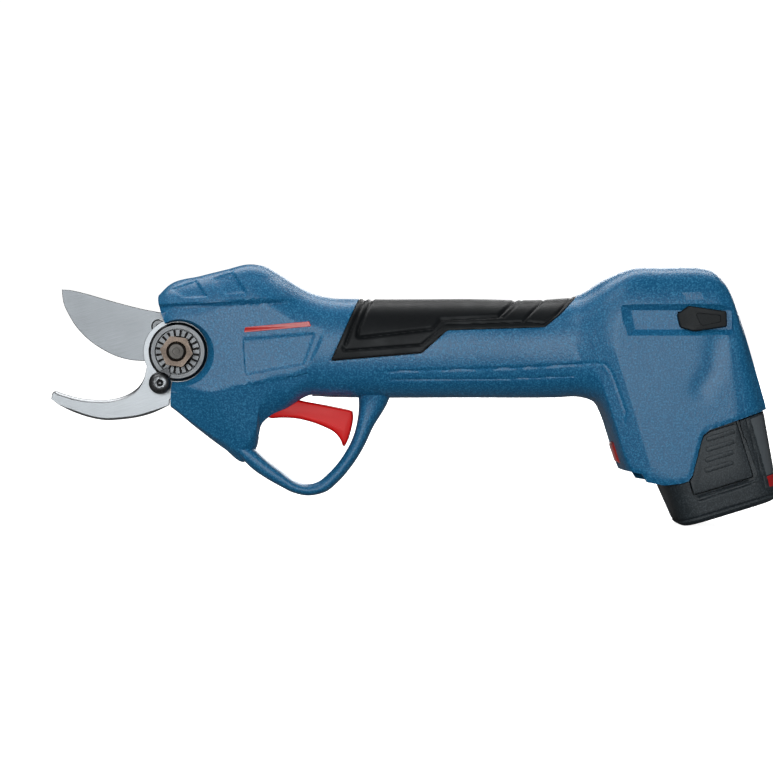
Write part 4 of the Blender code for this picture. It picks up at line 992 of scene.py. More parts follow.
@dataclass
class HousingForm:
    """The housing's outer form as slices from nose to rear wall, and the relief on its sides."""

    head_half: float = 19.3
    handle_start: float = 82.0
    handle_length: float = 98.0
    handle_top: float = 24.4
    handle_bottom: float = -21.0
    handle_half: float = 19.0
    rear_half: float = 26.2
    wall: float = 2.7
    panel_face: float = 15.9
    panel_slope: float = 0.042
    rear_face: float = 25.3

    def slices(self) -> np.ndarray:
        """Rows of lower x, z, upper x, z, half width, squareness above and below.

        Returns:
            An array with a row for each slice.
        """
        h, w, r = self.head_half, self.handle_half, self.rear_half
        start, end = self.handle_start, self.handle_start + self.handle_length
        top, low = self.handle_top, self.handle_bottom
        rows = [(-9.2, -22, -9.2, 26.2, h - 5.2, 2.6, 4.5), (-4, -25.1, -4.6, 30.8, h - 3.6, 2.6, 4.5),
            (8, -35, 10, 35, h - 2.2, 2.7, 3.0), (20, -44.2, 22, 38, h - 1.0, 2.7, 2.1),
            (30, -50.5, 31, 40.2, h - 0.5, 2.7, 1.7), (35.2, -44, 36, 40, h, 2.6, 1.8),
            (37, -36.5, 40.5, 38.8, h, 2.5, 1.9), (42.5, -31, 47, 35, h, 2.4, 2.0),
            (49.5, -27, 54.3, 30.4, h, 2.3, 2.2), (59, -20.8, 61.6, 26.7, h, 2.3, 2.5),
            (70, -20.8, 70, 24.8, h, 2.3, 2.5), (start, low, start, top, w, 2.3, 2.5),
            ((start + end) / 2, low, (start + end) / 2, top, w, 2.3, 2.5),
            (end - 8, low, end - 8, top, w, 2.3, 2.5)]
        rear = [(4, -20.8, 1, 25.5, w + (r - w) * 0.20, 2.5, 2.7),
            (10.5, -23, 7, 28.2, w + (r - w) * 0.48, 2.9, 3.2), (14.3, -29, 14, 32.7, w + (r - w) * 0.75,
            3.4, 3.9), (17.5, -38, 21.5, 36.3, w + (r - w) * 0.92, 3.9, 4.4),
            (22, -52, 28, 38.2, r - 0.1, 4.2, 4.8), (31, -68, 40, 38.3, r, 4.4, 5.0),
            (56, -74, 58, 38.2, r, 4.4, 5.0), (76, -54, 65.5, 35, r - 1, 4.4, 5.0),
            (84.5, -42, 70, 29, r - 3.2, 4.4, 5.0), (89.5, -36, 72.6, 22.5, r - 7.5, 4.0, 4.4)]
        return np.array(rows + [(end + a, b, end + c, d, *rest) for a, b, c, d, *rest in rear])

    def blended(self, rows: np.ndarray, step: float) -> np.ndarray:
        """More slices, blended smoothly between the given ones.

        Args:
            rows: slices as slices() gives them.
            step: the distance between the new ones.

        Returns:
            The finer rows.
        """
        gaps = (np.hypot(*(rows[1:, :2] - rows[:-1, :2]).T) + np.hypot(*(rows[1:, 2:4]
            - rows[:-1, 2:4]).T)) / 2
        steps = (rows[1:] - rows[:-1]) / gaps[:, None]
        slopes = np.empty_like(rows)
        slopes[0], slopes[-1] = steps[0], steps[-1]
        slopes[1:-1] = (steps[:-1] * gaps[1:, None] + steps[1:] * gaps[:-1, None]) / (gaps[:-1]
            + gaps[1:])[:, None]
        made = []
        for i, gap in enumerate(gaps):
            for t in np.arange(max(1, round(gap / step))) / max(1, round(gap / step)):
                made.append((2 * t**3 - 3 * t**2 + 1) * rows[i] + (t**3 - 2 * t**2 + t) * gap * slopes[i]
                            + (3 * t**2 - 2 * t**3) * rows[i + 1] + (t**3 - t**2) * gap * slopes[i + 1])
        return np.array(made + [rows[-1]])

    def surface(self, step: float, around: int, inwards: float = 0.0, first: int = 0,
                last: int | None = None) -> np.ndarray:
        """The outer surface as rings with evenly spaced points.

        Args:
            step: the distance between rings.
            around: points on each ring.
            inwards: how far inside the outer surface it lies.
            first: the first slice used.
            last: the slice it stops before, all if left out.

        Returns:
            An array of (rings, around, 3).
        """
        rings = []
        dense = np.linspace(0, math.tau, 721)
        for row in self.blended(self.slices()[first:last], step):
            low, high = row[:2], row[2:4]
            centre, reach = (low + high) / 2, (high - low) / 2
            reach = reach * (1 - inwards / np.linalg.norm(reach))
            power = 2 / np.where(np.cos(dense) < 0, row[5], row[6])
            along, across = squared(dense, power)
            rings.append(evened(np.stack([centre[0] - reach[0] * along, across * (row[4] - inwards),
                centre[1] - reach[1] * along], axis=-1), around))
        return np.stack(rings)

    # Outlines of the relief, all (x, z).
    panel: Points = ((-14, 20.2), (5.2, 19.4), (35.7, 21.3), (52.7, 22.2), (66.8, 13.4), (67.4, 11.0),
        (60.3, -4.8), (55.6, -10.7), (19.2, -17.4), (-14, -17.4))
    plate: Points = ((30.1, 5.6), (62.6, 8.2), (57.6, -5.6), (31.3, -10.4))
    vents: tuple[Points, ...] = (((-3.4, 28.2), (7.9, 32.2), (13.2, 24.9), (3.2, 24.4)),
        ((16.4, 33.2), (24.4, 36.2), (31.6, 26.9), (21.4, 26.0)))
    plateau: Points = ((192.6, 17.2), (194.2, 21.6), (198.2, 25.2), (204.0, 27.4), (211.3, 28.4),
        (224, 29.3), (290, 29.3), (290, -70), (216, -61), (213.3, -50.4))

    def relief(self, points: np.ndarray, inwards: float = 0.0, fine: bool = True) -> np.ndarray:
        """Moves the surface to the panels, facets, steps and grooves of its sides.

        Args:
            points: an array ending in x, y, z.
            inwards: how far inside the outer surface the points lie.
            fine: whether the small steps and grooves are made too.

        Returns:
            The moved points.
        """
        x, y, z = points[..., 0], points[..., 1], points[..., 2]
        side, wide = np.sign(y), np.abs(y)
        room = np.clip(wide / 4, 0, 1)
        # The visor stands out over the head's flat panel.
        rim = 20.6 + 0.035 * (x + 8)
        visor = ease(z, rim - 0.6, rim + 1.1) * ease(56 - x, 0, 14) * room
        wide = wide + visor * np.maximum(2.9 - 0.26 * (z - rim), 0)
        face = self.panel_face + self.panel_slope * x - inwards
        depth = depth_inside(x, z, self.panel)
        head = np.where(x < 76, np.minimum(face + np.maximum(-depth, 0) * 0.75, 60.0), 60.0)
        below = np.maximum(0.181 * (x - 19.2) - 0.983 * (z + 17.4), 0)
        bottom = np.where(x < 60, self.panel_face + 0.8 - inwards + 0.004 * x - 0.30 * below, 60.0)
        bottom = np.where(below > 0, np.maximum(bottom, 7.2 - inwards * 0.5), 60.0)
        front = 14.3 - inwards + 0.1606 * (x - 15.1) + 0.437 * (z + 24.2)
        front = np.where((z < -12) & (x < 48), np.maximum(front, 7.4 - inwards * 0.5), 60.0)
        wide = soft_least(wide, head, 0.25)
        band = np.where((x < 40) & (z > 24), 9.2 + 1.55 * (31.6 + 0.285 * (x + 4) - z) + 14
            * ease(x, 26, 40), 60.0)
        wide = soft_least(wide, bottom, 0.35)
        wide = soft_least(wide, band, 0.3)
        wide = soft_least(wide, front, 0.35)
        # The rear block has a flat face with a crisp edge round it.
        away = np.maximum(-depth_inside(x, z, self.plateau), 0)
        rear = np.where(x > 150, self.rear_face - inwards - 0.34 * np.minimum(away, 16), 60.0)
        wide = soft_least(wide, rear, 0.25)
        hollow = distance_to_path(x, z, ((243, 4), (241.5, -8), (236, -17)))
        wide = wide - 0.7 * np.exp(-(hollow / 4.5) ** 2) * (x > 200)
        if fine:
            wide = self._small_relief(x, z, wide, room)
        moved = points.copy()
        moved[..., 1] = side * np.maximum(wide, 0)
        return moved

    def _small_relief(self, x: np.ndarray, z: np.ndarray, wide: np.ndarray, room: np.ndarray) -> np.ndarray:
        """The sunken plates, vents, grooves and rounded rims of the sides.

        Args:
            x: X of the points.
            z: Z of the points.
            wide: their distance from the split plane.
            room: 0 at the split plane, 1 on the sides.

        Returns:
            The new distances from the split plane.
        """
        wide = wide - 0.45 * ease(depth_inside(x, z, self.plate), -0.3, 0.3)
        for vent in self.vents:
            first, last = vent[0][0], vent[2][0]
            ramp = 0.3 + 0.7 * np.clip((x - first) / (last - first), 0, 1)
            wide = wide - 1.15 * ramp * ease(depth_inside(x, z, vent), -0.45, 0.35) * room
        seams = (
            ((96, -8.9), (150, -7.5), (189, -5.2), (193.5, -6.2), (196.2, -9.4), (199.2, -18), (202.4, -27),
             (201.6, -31.4), (197.4, -34)),
            ((96, -12.9), (150, -12.3), (180, -11.1)),
            ((13.2, 24.9), (7.9, 32.2), (5.2, 36.0)),
            ((31.6, 26.9), (24.4, 36.2), (21.6, 40.0)),
        )
        for seam in seams:
            wide = wide - 0.5 * np.exp(-(distance_to_path(x, z, seam) / 0.45) ** 2) * room
        lower = ease(depth_inside(x, z, ((90, -8.9), (189, -5.2), (196.2, -9.4), (202.4, -27), (196, -36),
            (180, -24), (90, -24))), -0.3, 0.6)
        wide = wide - 0.25 * lower * room
        for rim, radius in ((SOCKET_EDGE, 1.5), (NOSE_EDGE, 0.9)):
            near = np.clip(radius - distance_to_path(x, z, rim), 0, radius)
            wide = wide - (radius - np.sqrt(np.maximum(radius**2 - near**2, 0))) * 0.8
        near = np.clip(0.6 - np.abs(depth_inside(x, z, GRIP_EDGE)), 0, 0.6)
        return wide - (0.6 - np.sqrt(0.36 - near**2)) * 0.7 * room


REAR = 180.0
SOCKET_EDGE: Points = tuple((REAR + a, b) for a, b in ((20, -53.9), (23, -53.9), (29.8, -55.2),
    (32.1, -58.9), (39.9, -60.3), (47.2, -59.4), (50.6, -58.2), (52.3, -55.6), (56.1, -40.6),
    (57.2, -37.6), (59.8, -35.4), (92, -24.2)))
NOSE_EDGE: Points = ((-9.6, 26.2), (-7.9, 18.9), (-5.6, 13.2), (-2.2, -14.1), (-3.2, -21.5), (-3.6, -26.4))
GRIP_EDGE: Points = ((69.9, -4.3), (111, -0.8), (122.5, 9.6), (166.5, 11.0), (173.5, 16.6), (192, 36.4),
    (88, 36.4))
TILT = math.radians(17)


def shifted(path: Points, drop: float) -> list[Point2]:
    """A path moved down the battery's axis by a distance."""
    return [(x + math.sin(TILT) * drop, z - math.cos(TILT) * drop) for x, z in path]


def under_socket(drop: float = 0.0) -> list[Point2]:
    """The outline of everything under the housing's lower edge, drop further down."""
    edge = shifted(SOCKET_EDGE, drop)
    return edge + [(edge[-1][0], -130.0), (188.0, -130.0), (188.0, edge[0][1])]


@dataclass
class Housing:
    """The two clamshell halves with the finger guard and the soft grip."""

    form: HousingForm
    ring_step: float = 0.75
    around: int = 216
    split_gap: float = 0.12
    recess_radius: float = 14.4
    guard_half: float = 7.5
    grip_depth: float = 1.5

    def guard(self) -> bpy.types.Object:
        """The finger guard as a loop of rounded slices.

        Returns:
            The guard's solid.
        """
        r = self.guard_half
        edges = np.array([(27, -40, 26, -46, r, 2.6, 2.6), (34.5, -44.5, 33, -53.4, r, 2.6, 2.6),
            (40, -49.4, 39.6, -58, r, 2.6, 2.6), (46.9, -54.7, 46.9, -62.1, r, 2.6, 2.6),
            (53, -59.2, 52.6, -64.8, r, 2.6, 2.6), (58, -60.8, 59, -66, r, 2.6, 2.6),
            (63.6, -59.6, 66.8, -64.4, r, 2.6, 2.6), (69.3, -54.8, 72.7, -59.8, r, 2.6, 2.6),
            (75.6, -46.8, 80, -51.1, r, 2.6, 2.6), (79.9, -38.2, 85, -42.8, r, 2.6, 2.6),
            (82, -28.4, 89.2, -34, r, 2.6, 2.6), (82, -20.4, 95, -24.4, r + 0.6, 2.6, 2.6),
            (80, -14, 99, -14, r + 2.5, 2.6, 2.6)])
        rings = []
        turns = np.arange(48) * math.tau / 48
        for row in self.form.blended(edges, 0.9):
            centre, reach = (row[:2] + row[2:4]) / 2, (row[2:4] - row[:2]) / 2
            along, across = squared(turns, 2 / row[5])
            rings.append(np.stack([centre[0] - reach[0] * along, across * row[4],
                centre[1] - reach[1] * along], axis=-1))
        return Workshop.skin("guard", np.stack(rings))

    def cutters(self) -> list[bpy.types.Object]:
        """What both halves lose: the mouth, the recesses round the pivot, the bores and the socket.

        Returns:
            The cutting solids.
        """
        nose = [(-30, 26.2), *NOSE_EDGE[:1], *NOSE_EDGE[1:], (-3.9, -60), (-30, -60)]
        r = self.recess_radius
        shapes = [Workshop.slab("cut_mouth", nose, -40, 40), Workshop.turned("cut_eye",
            [(0, -40), (r - 0.6, -40), (r - 0.6, -9.5), (r, -9.4), (r, 40), (0, 40)], sides=120),
            Workshop.rod("cut_blades", 21.4, -8.6, 2.3, sides=120),
            Workshop.barrel("cut_drive", 15.8, 20, 107, 72), Workshop.slab("cut_trigger",
            [(33, -39), (61, -39), (61, -18.5), (33, -18.5)], -7, 7),
            Workshop.slab("cut_socket", under_socket(), -60, 60),
            Workshop.rod("cut_pin", 1.6, -8.2, 8.2, (42, -26), sides=24)]
        turns = np.arange(120) * math.tau / 120
        for name, sign in (("near", -1), ("far", 1)):
            rings = []
            for y, shift, grow in ((10.0, 0.0, -0.75), (12.2, 0.0, -0.6), (13.4, 0.1, -0.3),
                    (15.4, 0.35, 0.5), (21.0, 1.2, 4.6), (26.0, 2.0, 9.0)):
                reach = r + grow
                rings.append(np.stack([2.3 * shift + reach * np.cos(turns), np.full(120, sign * y),
                    -1.6 * shift + reach * np.sin(turns)], axis=-1))
            shapes.append(Workshop.skin(f"cut_flare_{name}", np.stack(rings)))
        return shapes

    def cavity(self) -> bpy.types.Object:
        """The space inside the wall."""
        rings = self.form.surface(3.0, 96, self.form.wall, first=1, last=-1)
        return Workshop.skin("cavity", self.form.relief(rings, self.form.wall, fine=False))

    def grip_pocket(self, grow: float, y_reach: float = 50.0) -> bpy.types.Object:
        """The grip's outline as a prism, grown by a distance."""
        outline = inset(np.array(rounded(GRIP_EDGE, 1.2)), -grow)
        return Workshop.slab("grip_prism", outline, -y_reach, y_reach)

    def slider_recess(self) -> list[bpy.types.Object]:
        """The thumb recess of the power slider, its slot and the framed window above it.

        Returns:
            The cutting solids of the near half.
        """
        face = -self.form.rear_face
        levels = (((204.6, 18.4), (250.2, 18.4), (250.2, 9.8), (206.4, 9.8), face + 2.5),
                  ((198.7, 21.2), (250.9, 22.2), (250.9, 6.8), (203.0, 6.8), face - 0.15),
                  ((198.0, 21.6), (251.0, 22.6), (251.0, 6.4), (202.4, 6.4), face - 2.0))
        rings = []
        for *corners, y in levels:
            rings.append(np.insert(np.array(rounded(corners, 0.7, 3)), 1, y, axis=1))
        window = Workshop.slab("cut_window", rounded(((227.6, 26.4), (236.2, 26.6), (237.8, 23.3),
            (229.6, 23.1)), 0.3), face - 2, face + 1.5)
        return [Workshop.skin("cut_recess", np.stack(rings)), window,
            Workshop.slab("cut_slot", ((225.8, 17.9), (240.9, 17.9), (240.9, 11.6), (226.4, 11.6)),
            face - 1, face + 9)]

    def window_pocket(self) -> bpy.types.Object:
        """The pocket of the status window in the rear block's front wall."""
        return LeaningBlock(3.13, 8.34, 5.37).solid("cut_status")

    def build(self) -> None:
        """Makes both halves and the two grip pieces and dresses them."""
        whole = Workshop.skin("shell", self.form.relief(self.form.surface(self.ring_step, self.around)))
        Workshop.carve(whole, [self.guard()], "UNION")
        floor = self.form.surface(1.6, 128, self.grip_depth + 0.25, first=8, last=18)
        pocket = self.grip_pocket(0.25)
        Workshop.carve(pocket, [Workshop.skin("grip_floor", floor)])
        Workshop.carve(whole, [self.cavity()])
        r = self.recess_radius
        Workshop.carve(whole, [Workshop.turned("collar", [(r - 2, -14.4), (r + 4.2, -14.4),
            (r + 4.2, -11.4), (r + 2.6, -10.2), (r - 2, -10.2)], sides=120)], "UNION")
        Workshop.carve(whole, [pocket, self.window_pocket(), *self.cutters()])
        sides = {"left": -1, "right": 1}
        for side, sign in sides.items():
            half = whole.copy()
            half.data = whole.data.copy()
            half.name = f"shell_{side}"
            bpy.context.scene.collection.objects.link(half)
            edge = sign * self.split_gap / 2
            other = Workshop.slab("cut_side", [(-60, -150), (400, -150), (400, 100), (-60, 100)],
                *sorted((edge, -sign * 70)))
            extra = self.slider_recess() if sign < 0 else [Workshop.turned(f"cut_sink_{i}",
                [(0, reach - 3), (2.7, reach - 3), (2.7, reach + 30), (0, reach + 30)], (sx, sz), 32)
                for i, (sx, sz, reach) in enumerate(SCREWS)]
            Workshop.carve(half, [other, *extra])
            Workshop.dress(half, Finishes.body, "housing", [f"housing_{side}"], "body_blue", 32)
        bpy.data.objects.remove(whole)
        self.build_grip(sides)
        self.build_trim()

    def grip_relief(self, points: np.ndarray) -> np.ndarray:
        """The pads and grooves pressed into the grip's outer face.

        Args:
            points: an array ending in x, y, z.

        Returns:
            The moved points.
        """
        x, y, z = points[..., 0], points[..., 1], points[..., 2]
        wide = np.abs(y)
        deep = np.zeros(x.shape)
        for groove, depth, half in ((((90.2, 30), (84.9, 23.8), (79.4, 11.0), (76.6, 3.2)), 0.75, 0.62),
                (((93.6, 30), (88.1, 23.8), (82.4, 11.0), (81.9, 6.9), (83.2, 6.3), (115.6, 10.2),
                (119.6, 14.6), (145.6, 15.9), (154.6, 24.4), (160, 30)), 0.80, 0.66),
                (((75.2, 1.8), (75.9, 0.2), (110.6, 2.9), (121.7, 12.4), (156.6, 13.6), (167.2, 24.2),
                (173, 30)), 0.50, 0.45), (((147.0, 16.0), (148.2, 15.6), (156.4, 23.2), (163, 30)), 0.35,
                0.4), (((158.8, 13.6), (166.4, 12.9), (172.6, 17.4), (178.4, 23.8), (184, 30)), 0.5, 0.45)):
            deep = np.maximum(deep, depth * np.exp(-(distance_to_path(x, z, groove) / half) ** 2))
        near = np.clip(0.8 - np.abs(depth_inside(x, z, GRIP_EDGE)), 0, 0.8)
        deep = np.maximum(deep, (0.8 - np.sqrt(0.64 - near**2)) * 0.8)
        moved = points.copy()
        centre = np.array([0.0, 0.0, 2.0])
        away = points - centre
        away[..., 0] = 0
        length = np.maximum(np.linalg.norm(away, axis=-1, keepdims=True), 1e-6)
        return moved - away / length * deep[..., None]

    def build_grip(self, sides: dict[str, int]) -> None:
        """The soft grip's two pieces, let into the handle.

        Args:
            sides: -1 and 1 by the side's name.
        """
        outer = self.form.surface(0.55, 300, 0.0, first=8, last=18)
        whole = Workshop.skin("grip", self.grip_relief(outer))
        Workshop.carve(whole, [self.grip_pocket(0.0)], "INTERSECT")
        Workshop.carve(whole, [Workshop.skin("grip_core", self.form.surface(1.6, 128, self.grip_depth,
            first=8, last=18))])
        for side, sign in sides.items():
            half = whole.copy()
            half.data = whole.data.copy()
            half.name = f"soft_grip_{side}"
            bpy.context.scene.collection.objects.link(half)
            edge = sign * self.split_gap / 2
            Workshop.carve(half, [Workshop.slab("cut_side", [(60, -50), (200, -50), (200, 60), (60, 60)],
                *sorted((edge, -sign * 60)))])
            Workshop.dress(half, Finishes.grip, "housing", [f"grip_{side}"], "grip_black", 32)
        bpy.data.objects.remove(whole)

    def build_trim(self) -> None:
        """The plain coloured bars on the head's panels."""
        for side, sign in (("left", -1), ("right", 1)):
            corners = np.array(rounded(((30.6, 8.6), (61.0, 11.3), (60.1, 13.6), (31.0, 11.0)), 0.5))
            rings = []
            for lift, by in ((-0.3, 0.0), (0.10, 0.0), (0.22, 0.14)):
                flat = inset(corners, by)
                y = sign * (self.form.panel_face + self.form.panel_slope * flat[:, 0] + lift)
                rings.append(np.stack([flat[:, 0], y, flat[:, 1]], axis=-1))
            bar = Workshop.skin(f"accent_bar_{side}", np.stack(rings))
            Workshop.dress(bar, Finishes.accent, "housing", slot="trigger_red", angle=40)


SCREWS: tuple[tuple[float, float, float], ...] = (
    (20, 31, 9.5), (16, -33.5, 6.5), (59, -63.3, 6.4), (121.0, -14.4, 13), (210, 31, 18))


@dataclass
class LeaningBlock:
    """A block on the rear block's front wall, leaning with it."""

    half_x: float
    half_y: float
    half_z: float
    x: float = 201.9
    z: float = -45.5
    lean: float = math.radians(19)

    def solid(self, name: str, corner: float = 0.0) -> bpy.types.Object:
        """The block as a solid.

        Args:
            name: its name.
            corner: how much its front face is drawn in.

        Returns:
            The object.
        """
        rings = []
        for across, shrink in ((self.half_x, 0.0), (-self.half_x + corner, 0.0), (-self.half_x, corner)):
            outline = rounded(((-self.half_y + shrink, -self.half_z + shrink),
                (self.half_y - shrink, -self.half_z + shrink), (self.half_y - shrink,
                self.half_z - shrink), (-self.half_y + shrink, self.half_z - shrink)), 1.0)
            rings.append([(self.x + across * math.cos(self.lean) - w * math.sin(self.lean), v,
                self.z + across * math.sin(self.lean) + w * math.cos(self.lean)) for v, w in outline])
        return Workshop.skin(name, np.array(rings))


# ------------------------------------------------------------------ repeated detail


class Repeater:
    """Geometry Nodes that copy a small shape round an axis or along a line."""

    def __init__(self, name: str, around: bool) -> None:
        """Builds the tree.

        Args:
            name: the tree's name.
            around: True to turn the copies about Y, False to step them along a line.
        """
        self.tree = bpy.data.node_groups.new(name, "GeometryNodeTree")
        self.sockets: dict[str, str] = {}
        kinds = {"Shape": "NodeSocketGeometry", "Count": "NodeSocketInt", "Centre": "NodeSocketVector",
                 "Step": "NodeSocketVector", "Material": "NodeSocketMaterial"}
        for label, kind in kinds.items():
            self.sockets[label] = self.tree.interface.new_socket(label, in_out="INPUT",
                socket_type=kind).identifier
        self.tree.interface.new_socket("Result", in_out="OUTPUT", socket_type="NodeSocketGeometry")
        start, end = self._node("NodeGroupInput"), self._node("NodeGroupOutput")
        index = self._node("GeometryNodeInputIndex").outputs[0]
        scaled = self._node("ShaderNodeVectorMath", operation="SCALE")
        self._link(start.outputs["Step"], scaled.inputs[0])
        self._link(index, scaled.inputs["Scale"])
        points = self._node("GeometryNodePoints")
        self._link(start.outputs["Count"], points.inputs["Count"])
        copies = self._node("GeometryNodeInstanceOnPoints")
        if around:
            self._link(start.outputs["Centre"], points.inputs["Position"])
            self._link(scaled.outputs[0], copies.inputs["Rotation"])
        else:
            place = self._node("ShaderNodeVectorMath", operation="ADD")
            self._link(start.outputs["Centre"], place.inputs[0])
            self._link(scaled.outputs[0], place.inputs[1])
            self._link(place.outputs[0], points.inputs["Position"])
        self._link(points.outputs[0], copies.inputs["Points"])
        self._link(start.outputs["Shape"], copies.inputs["Instance"])
        real = self._node("GeometryNodeRealizeInstances")
        self._link(copies.outputs[0], real.inputs[0])
        finish = self._node("GeometryNodeSetMaterial")
        self._link(real.outputs[0], finish.inputs["Geometry"])
        self._link(start.outputs["Material"], finish.inputs["Material"])
        self._link(finish.outputs[0], end.inputs[0])

    def _node(self, kind: str, **settings: Any) -> bpy.types.Node:
        """Adds a node with its settings.

        Args:
            kind: the node's type.
            settings: its properties.

        Returns:
            The node.
        """
        node = self.tree.nodes.new(kind)
        for key, value in settings.items():
            setattr(node, key, value)
        return node

    def _link(self, source: bpy.types.NodeSocket, target: bpy.types.NodeSocket) -> None:
        """Links two sockets."""
        self.tree.links.new(source, target)

    def apply(self, shape: bpy.types.Object, count: int, centre: Sequence[float], step: Sequence[float],
              finish: Finish) -> bpy.types.Object:
        """Turns a shape, made about the frame's origin, into its copies.

        Args:
            shape: the small shape; it becomes the result.
            count: how many copies.
            centre: the axis or the first copy's place, in metres.
            step: the turn in radians or the move in metres from each copy to the next.
            finish: what they wear.

        Returns:
            The same object as a plain mesh.
        """
        modifier = shape.modifiers.new("copies", "NODES")
        modifier.node_group = self.tree
        for label, value in (("Count", count), ("Centre", tuple(centre)), ("Step", tuple(step)),
                ("Material", finish.material())):
            modifier[self.sockets[label]] = value
        Workshop.settle(shape)
        return shape


class Repeaters:
    """The two repeaters, made once each."""

    _made: dict[bool, Repeater] = {}

    @classmethod
    def get(cls, around: bool) -> Repeater:
        """The repeater that turns copies about Y, or the one that steps them along a line.

        Args:
            around: whether the copies turn about Y.

        Returns:
            The repeater, made once.
        """
        if around not in cls._made:
            cls._made[around] = Repeater("copies_around" if around else "copies_along", around)
        return cls._made[around]


def lobed(radius: float, waist: float, lobes: int = 6, steps: int = 8, phase: float = 0.0) -> list[Point2]:
    """The outline of a lobed screw recess.

    Args:
        radius: to the lobes' tips.
        waist: to the hollows between them.
        lobes: how many lobes.
        steps: points for each lobe.
        phase: its turn in radians.

    Returns:
        The closed outline about (0, 0).
    """
    points = []
    for i in range(lobes * steps):
        angle = math.tau * i / (lobes * steps)
        reach = (radius + waist) / 2 + (radius - waist) / 2 * math.cos(lobes * angle)
        points.append((reach * math.cos(angle + phase), reach * math.sin(angle + phase)))
    return points


def moved(points: Points, centre: Point2) -> list[Point2]:
    """An outline moved to a centre."""
    return [(x + centre[0], z + centre[1]) for x, z in points]


# ------------------------------------------------------------------ cutting head


@dataclass
class CuttingHead:
    """The moving blade, the fixed hooked blade and the drive peg."""

    eye_radius: float = 15.0
    back_face: float = -1.2
    moving_thickness: float = 3.2
    fixed_thickness: float = 3.4
    gap: float = 0.3
    bush_radius: float = 5.9
    bolt_radius: float = 4.0
    peg_radius: float = 3.1

    @property
    def moving_front(self) -> float:
        """Y of the moving blade's near face."""
        return self.back_face - self.moving_thickness

    @property
    def fixed_front(self) -> float:
        """Y of the fixed blade's near face."""
        return self.moving_front - self.gap - self.fixed_thickness

    def peg_place(self) -> Point2:
        """The drive peg's X and Z."""
        angle = math.radians(129)
        return self.eye_radius * math.cos(angle), self.eye_radius * math.sin(angle)

    def moving_blade(self) -> bpy.types.Object:
        """The cutting blade, hollow ground on its far side and with a fine land at its edge.

        Returns:
            The blade.
        """
        edge = spline([(-53.8, 28.6), (-53.0, 22.5), (-51.0, 17.8), (-47.8, 12.4), (-44.0, 7.9),
            (-39.5, 4.0), (-34.0, 0.5), (-28.5, -2.1), (-22.5, -3.7), (-17.5, -4.1), (-12.9, -4.2)], 1.0,
            closed=False)
        eye = np.array(arc((0, 0), self.eye_radius - 1.4, 198, 442, 72))
        back = spline([(-3.0, 16.6), (-8.0, 18.0), (-16, 19.5), (-25, 21.7), (-34, 24.2), (-43, 26.8),
            (-50, 28.4)], 1.0, closed=False)
        outline = np.concatenate([edge, eye, back])
        along = np.linspace(0, 1, len(edge))
        ground = np.zeros(len(outline))
        ground[:len(edge)] = np.minimum(along / 0.10, 1) * np.clip((1 - along) / 0.22, 0, 1)
        near, far = self.moving_front, self.back_face
        blade = Workshop.layers("moving_blade", outline, (
            (near, 0.30), (near + 0.22, 0.06), (near + 0.4, 0.0), (far - 0.9, 0.0 + ground * 2.2),
            (far - 0.18, 0.06 + ground * 4.4), (far, 0.24 + ground * 4.7)))
        holes = [Workshop.rod("hole_bush", self.bush_radius + self.gap, near - 2, far + 2, sides=64),
            Workshop.rod("hole_peg", self.peg_radius + 0.22, near - 2, far + 2, self.peg_place(), sides=48)]
        Workshop.carve(blade, holes)
        return Workshop.dress(blade, Finishes.blade, "blade", ["upper_blade"], "blade_steel", 22)

    def fixed_blade(self) -> bpy.types.Object:
        """The hooked blade that holds the branch, with ground bevels along both edges.

        Returns:
            The blade.
        """
        inner = spline([(-58.2, -21.4), (-57.6, -18.6), (-56.4, -17.9), (-52.4, -19.2), (-45.5, -21.1),
            (-38, -21.9), (-31, -21.7), (-25, -20.2), (-20, -17.5), (-16.8, -14), (-15.3, -10.5)], 1.2,
            closed=False)
        eye = np.array(arc((-1.0, 0), self.eye_radius, 206, -48, 80))
        tail = np.array([(10.5, -15), (9.2, -22.3), (-4.0, -21.7), (-4.3, -24.4)])
        outer = spline([(-4.3, -24.4), (-12, -28), (-19.3, -30), (-27, -31), (-34, -31.2), (-41.4, -29.8),
            (-48.8, -27.2), (-54.5, -24.3)], 1.2, closed=False)[1:]
        outline = np.concatenate([inner, eye, tail, outer])
        bevel = np.zeros(len(outline))
        along = np.linspace(0, 1, len(inner))
        bevel[:len(inner)] = np.minimum(along / 0.12, 1) * np.clip((1 - along) / 0.2, 0, 1) * 0.8
        along = np.linspace(0, 1, len(outer))
        bevel[-len(outer):] = np.clip(along / 0.15, 0, 1) * np.clip((1 - along) / 0.12, 0, 1) * 0.55
        near, far = self.fixed_front, self.moving_front - self.gap
        blade = Workshop.layers("fixed_blade", outline, ((near, 0.22 + bevel * 1.5),
            (near + 0.2, 0.06 + bevel * 1.1), (near + 1.1, bevel * 0.35), (near + 1.8, 0.0),
            (far - 0.2, 0.0), (far, 0.2)))
        Workshop.carve(blade, [
            Workshop.rod("hole_bolt", self.bolt_radius + 0.25, near - 2, far + 2, sides=64),
            Workshop.rod("hole_lock", 1.8, near - 2, far + 2, (-7.8, -14.2), sides=32),
            Workshop.rod("hole_screw", 1.7, near - 2, far + 2, (4.2, -17.8), sides=32)])
        return Workshop.dress(blade, Finishes.hook, "housing", ["lower_blade"], "blade_steel", 22)

    def peg(self) -> bpy.types.Object:
        """The drive peg, with a turned dimple in its chamfered end.

        Returns:
            The peg.
        """
        near = self.moving_front
        r = self.peg_radius
        peg = Workshop.turned("peg", [(0, near + 0.35), (1.0, near + 0.35), (1.25, near + 0.1),
            (r - 0.45, near + 0.1), (r, near + 0.5), (r, 1.5), (0, 1.5)], self.peg_place(), 48)
        return Workshop.dress(peg, Finishes.disc, "blade", ["drive_peg"], "dark_steel", 30)

    def build(self) -> None:
        """Makes the three pieces."""
        self.moving_blade()
        self.fixed_blade()
        self.peg()


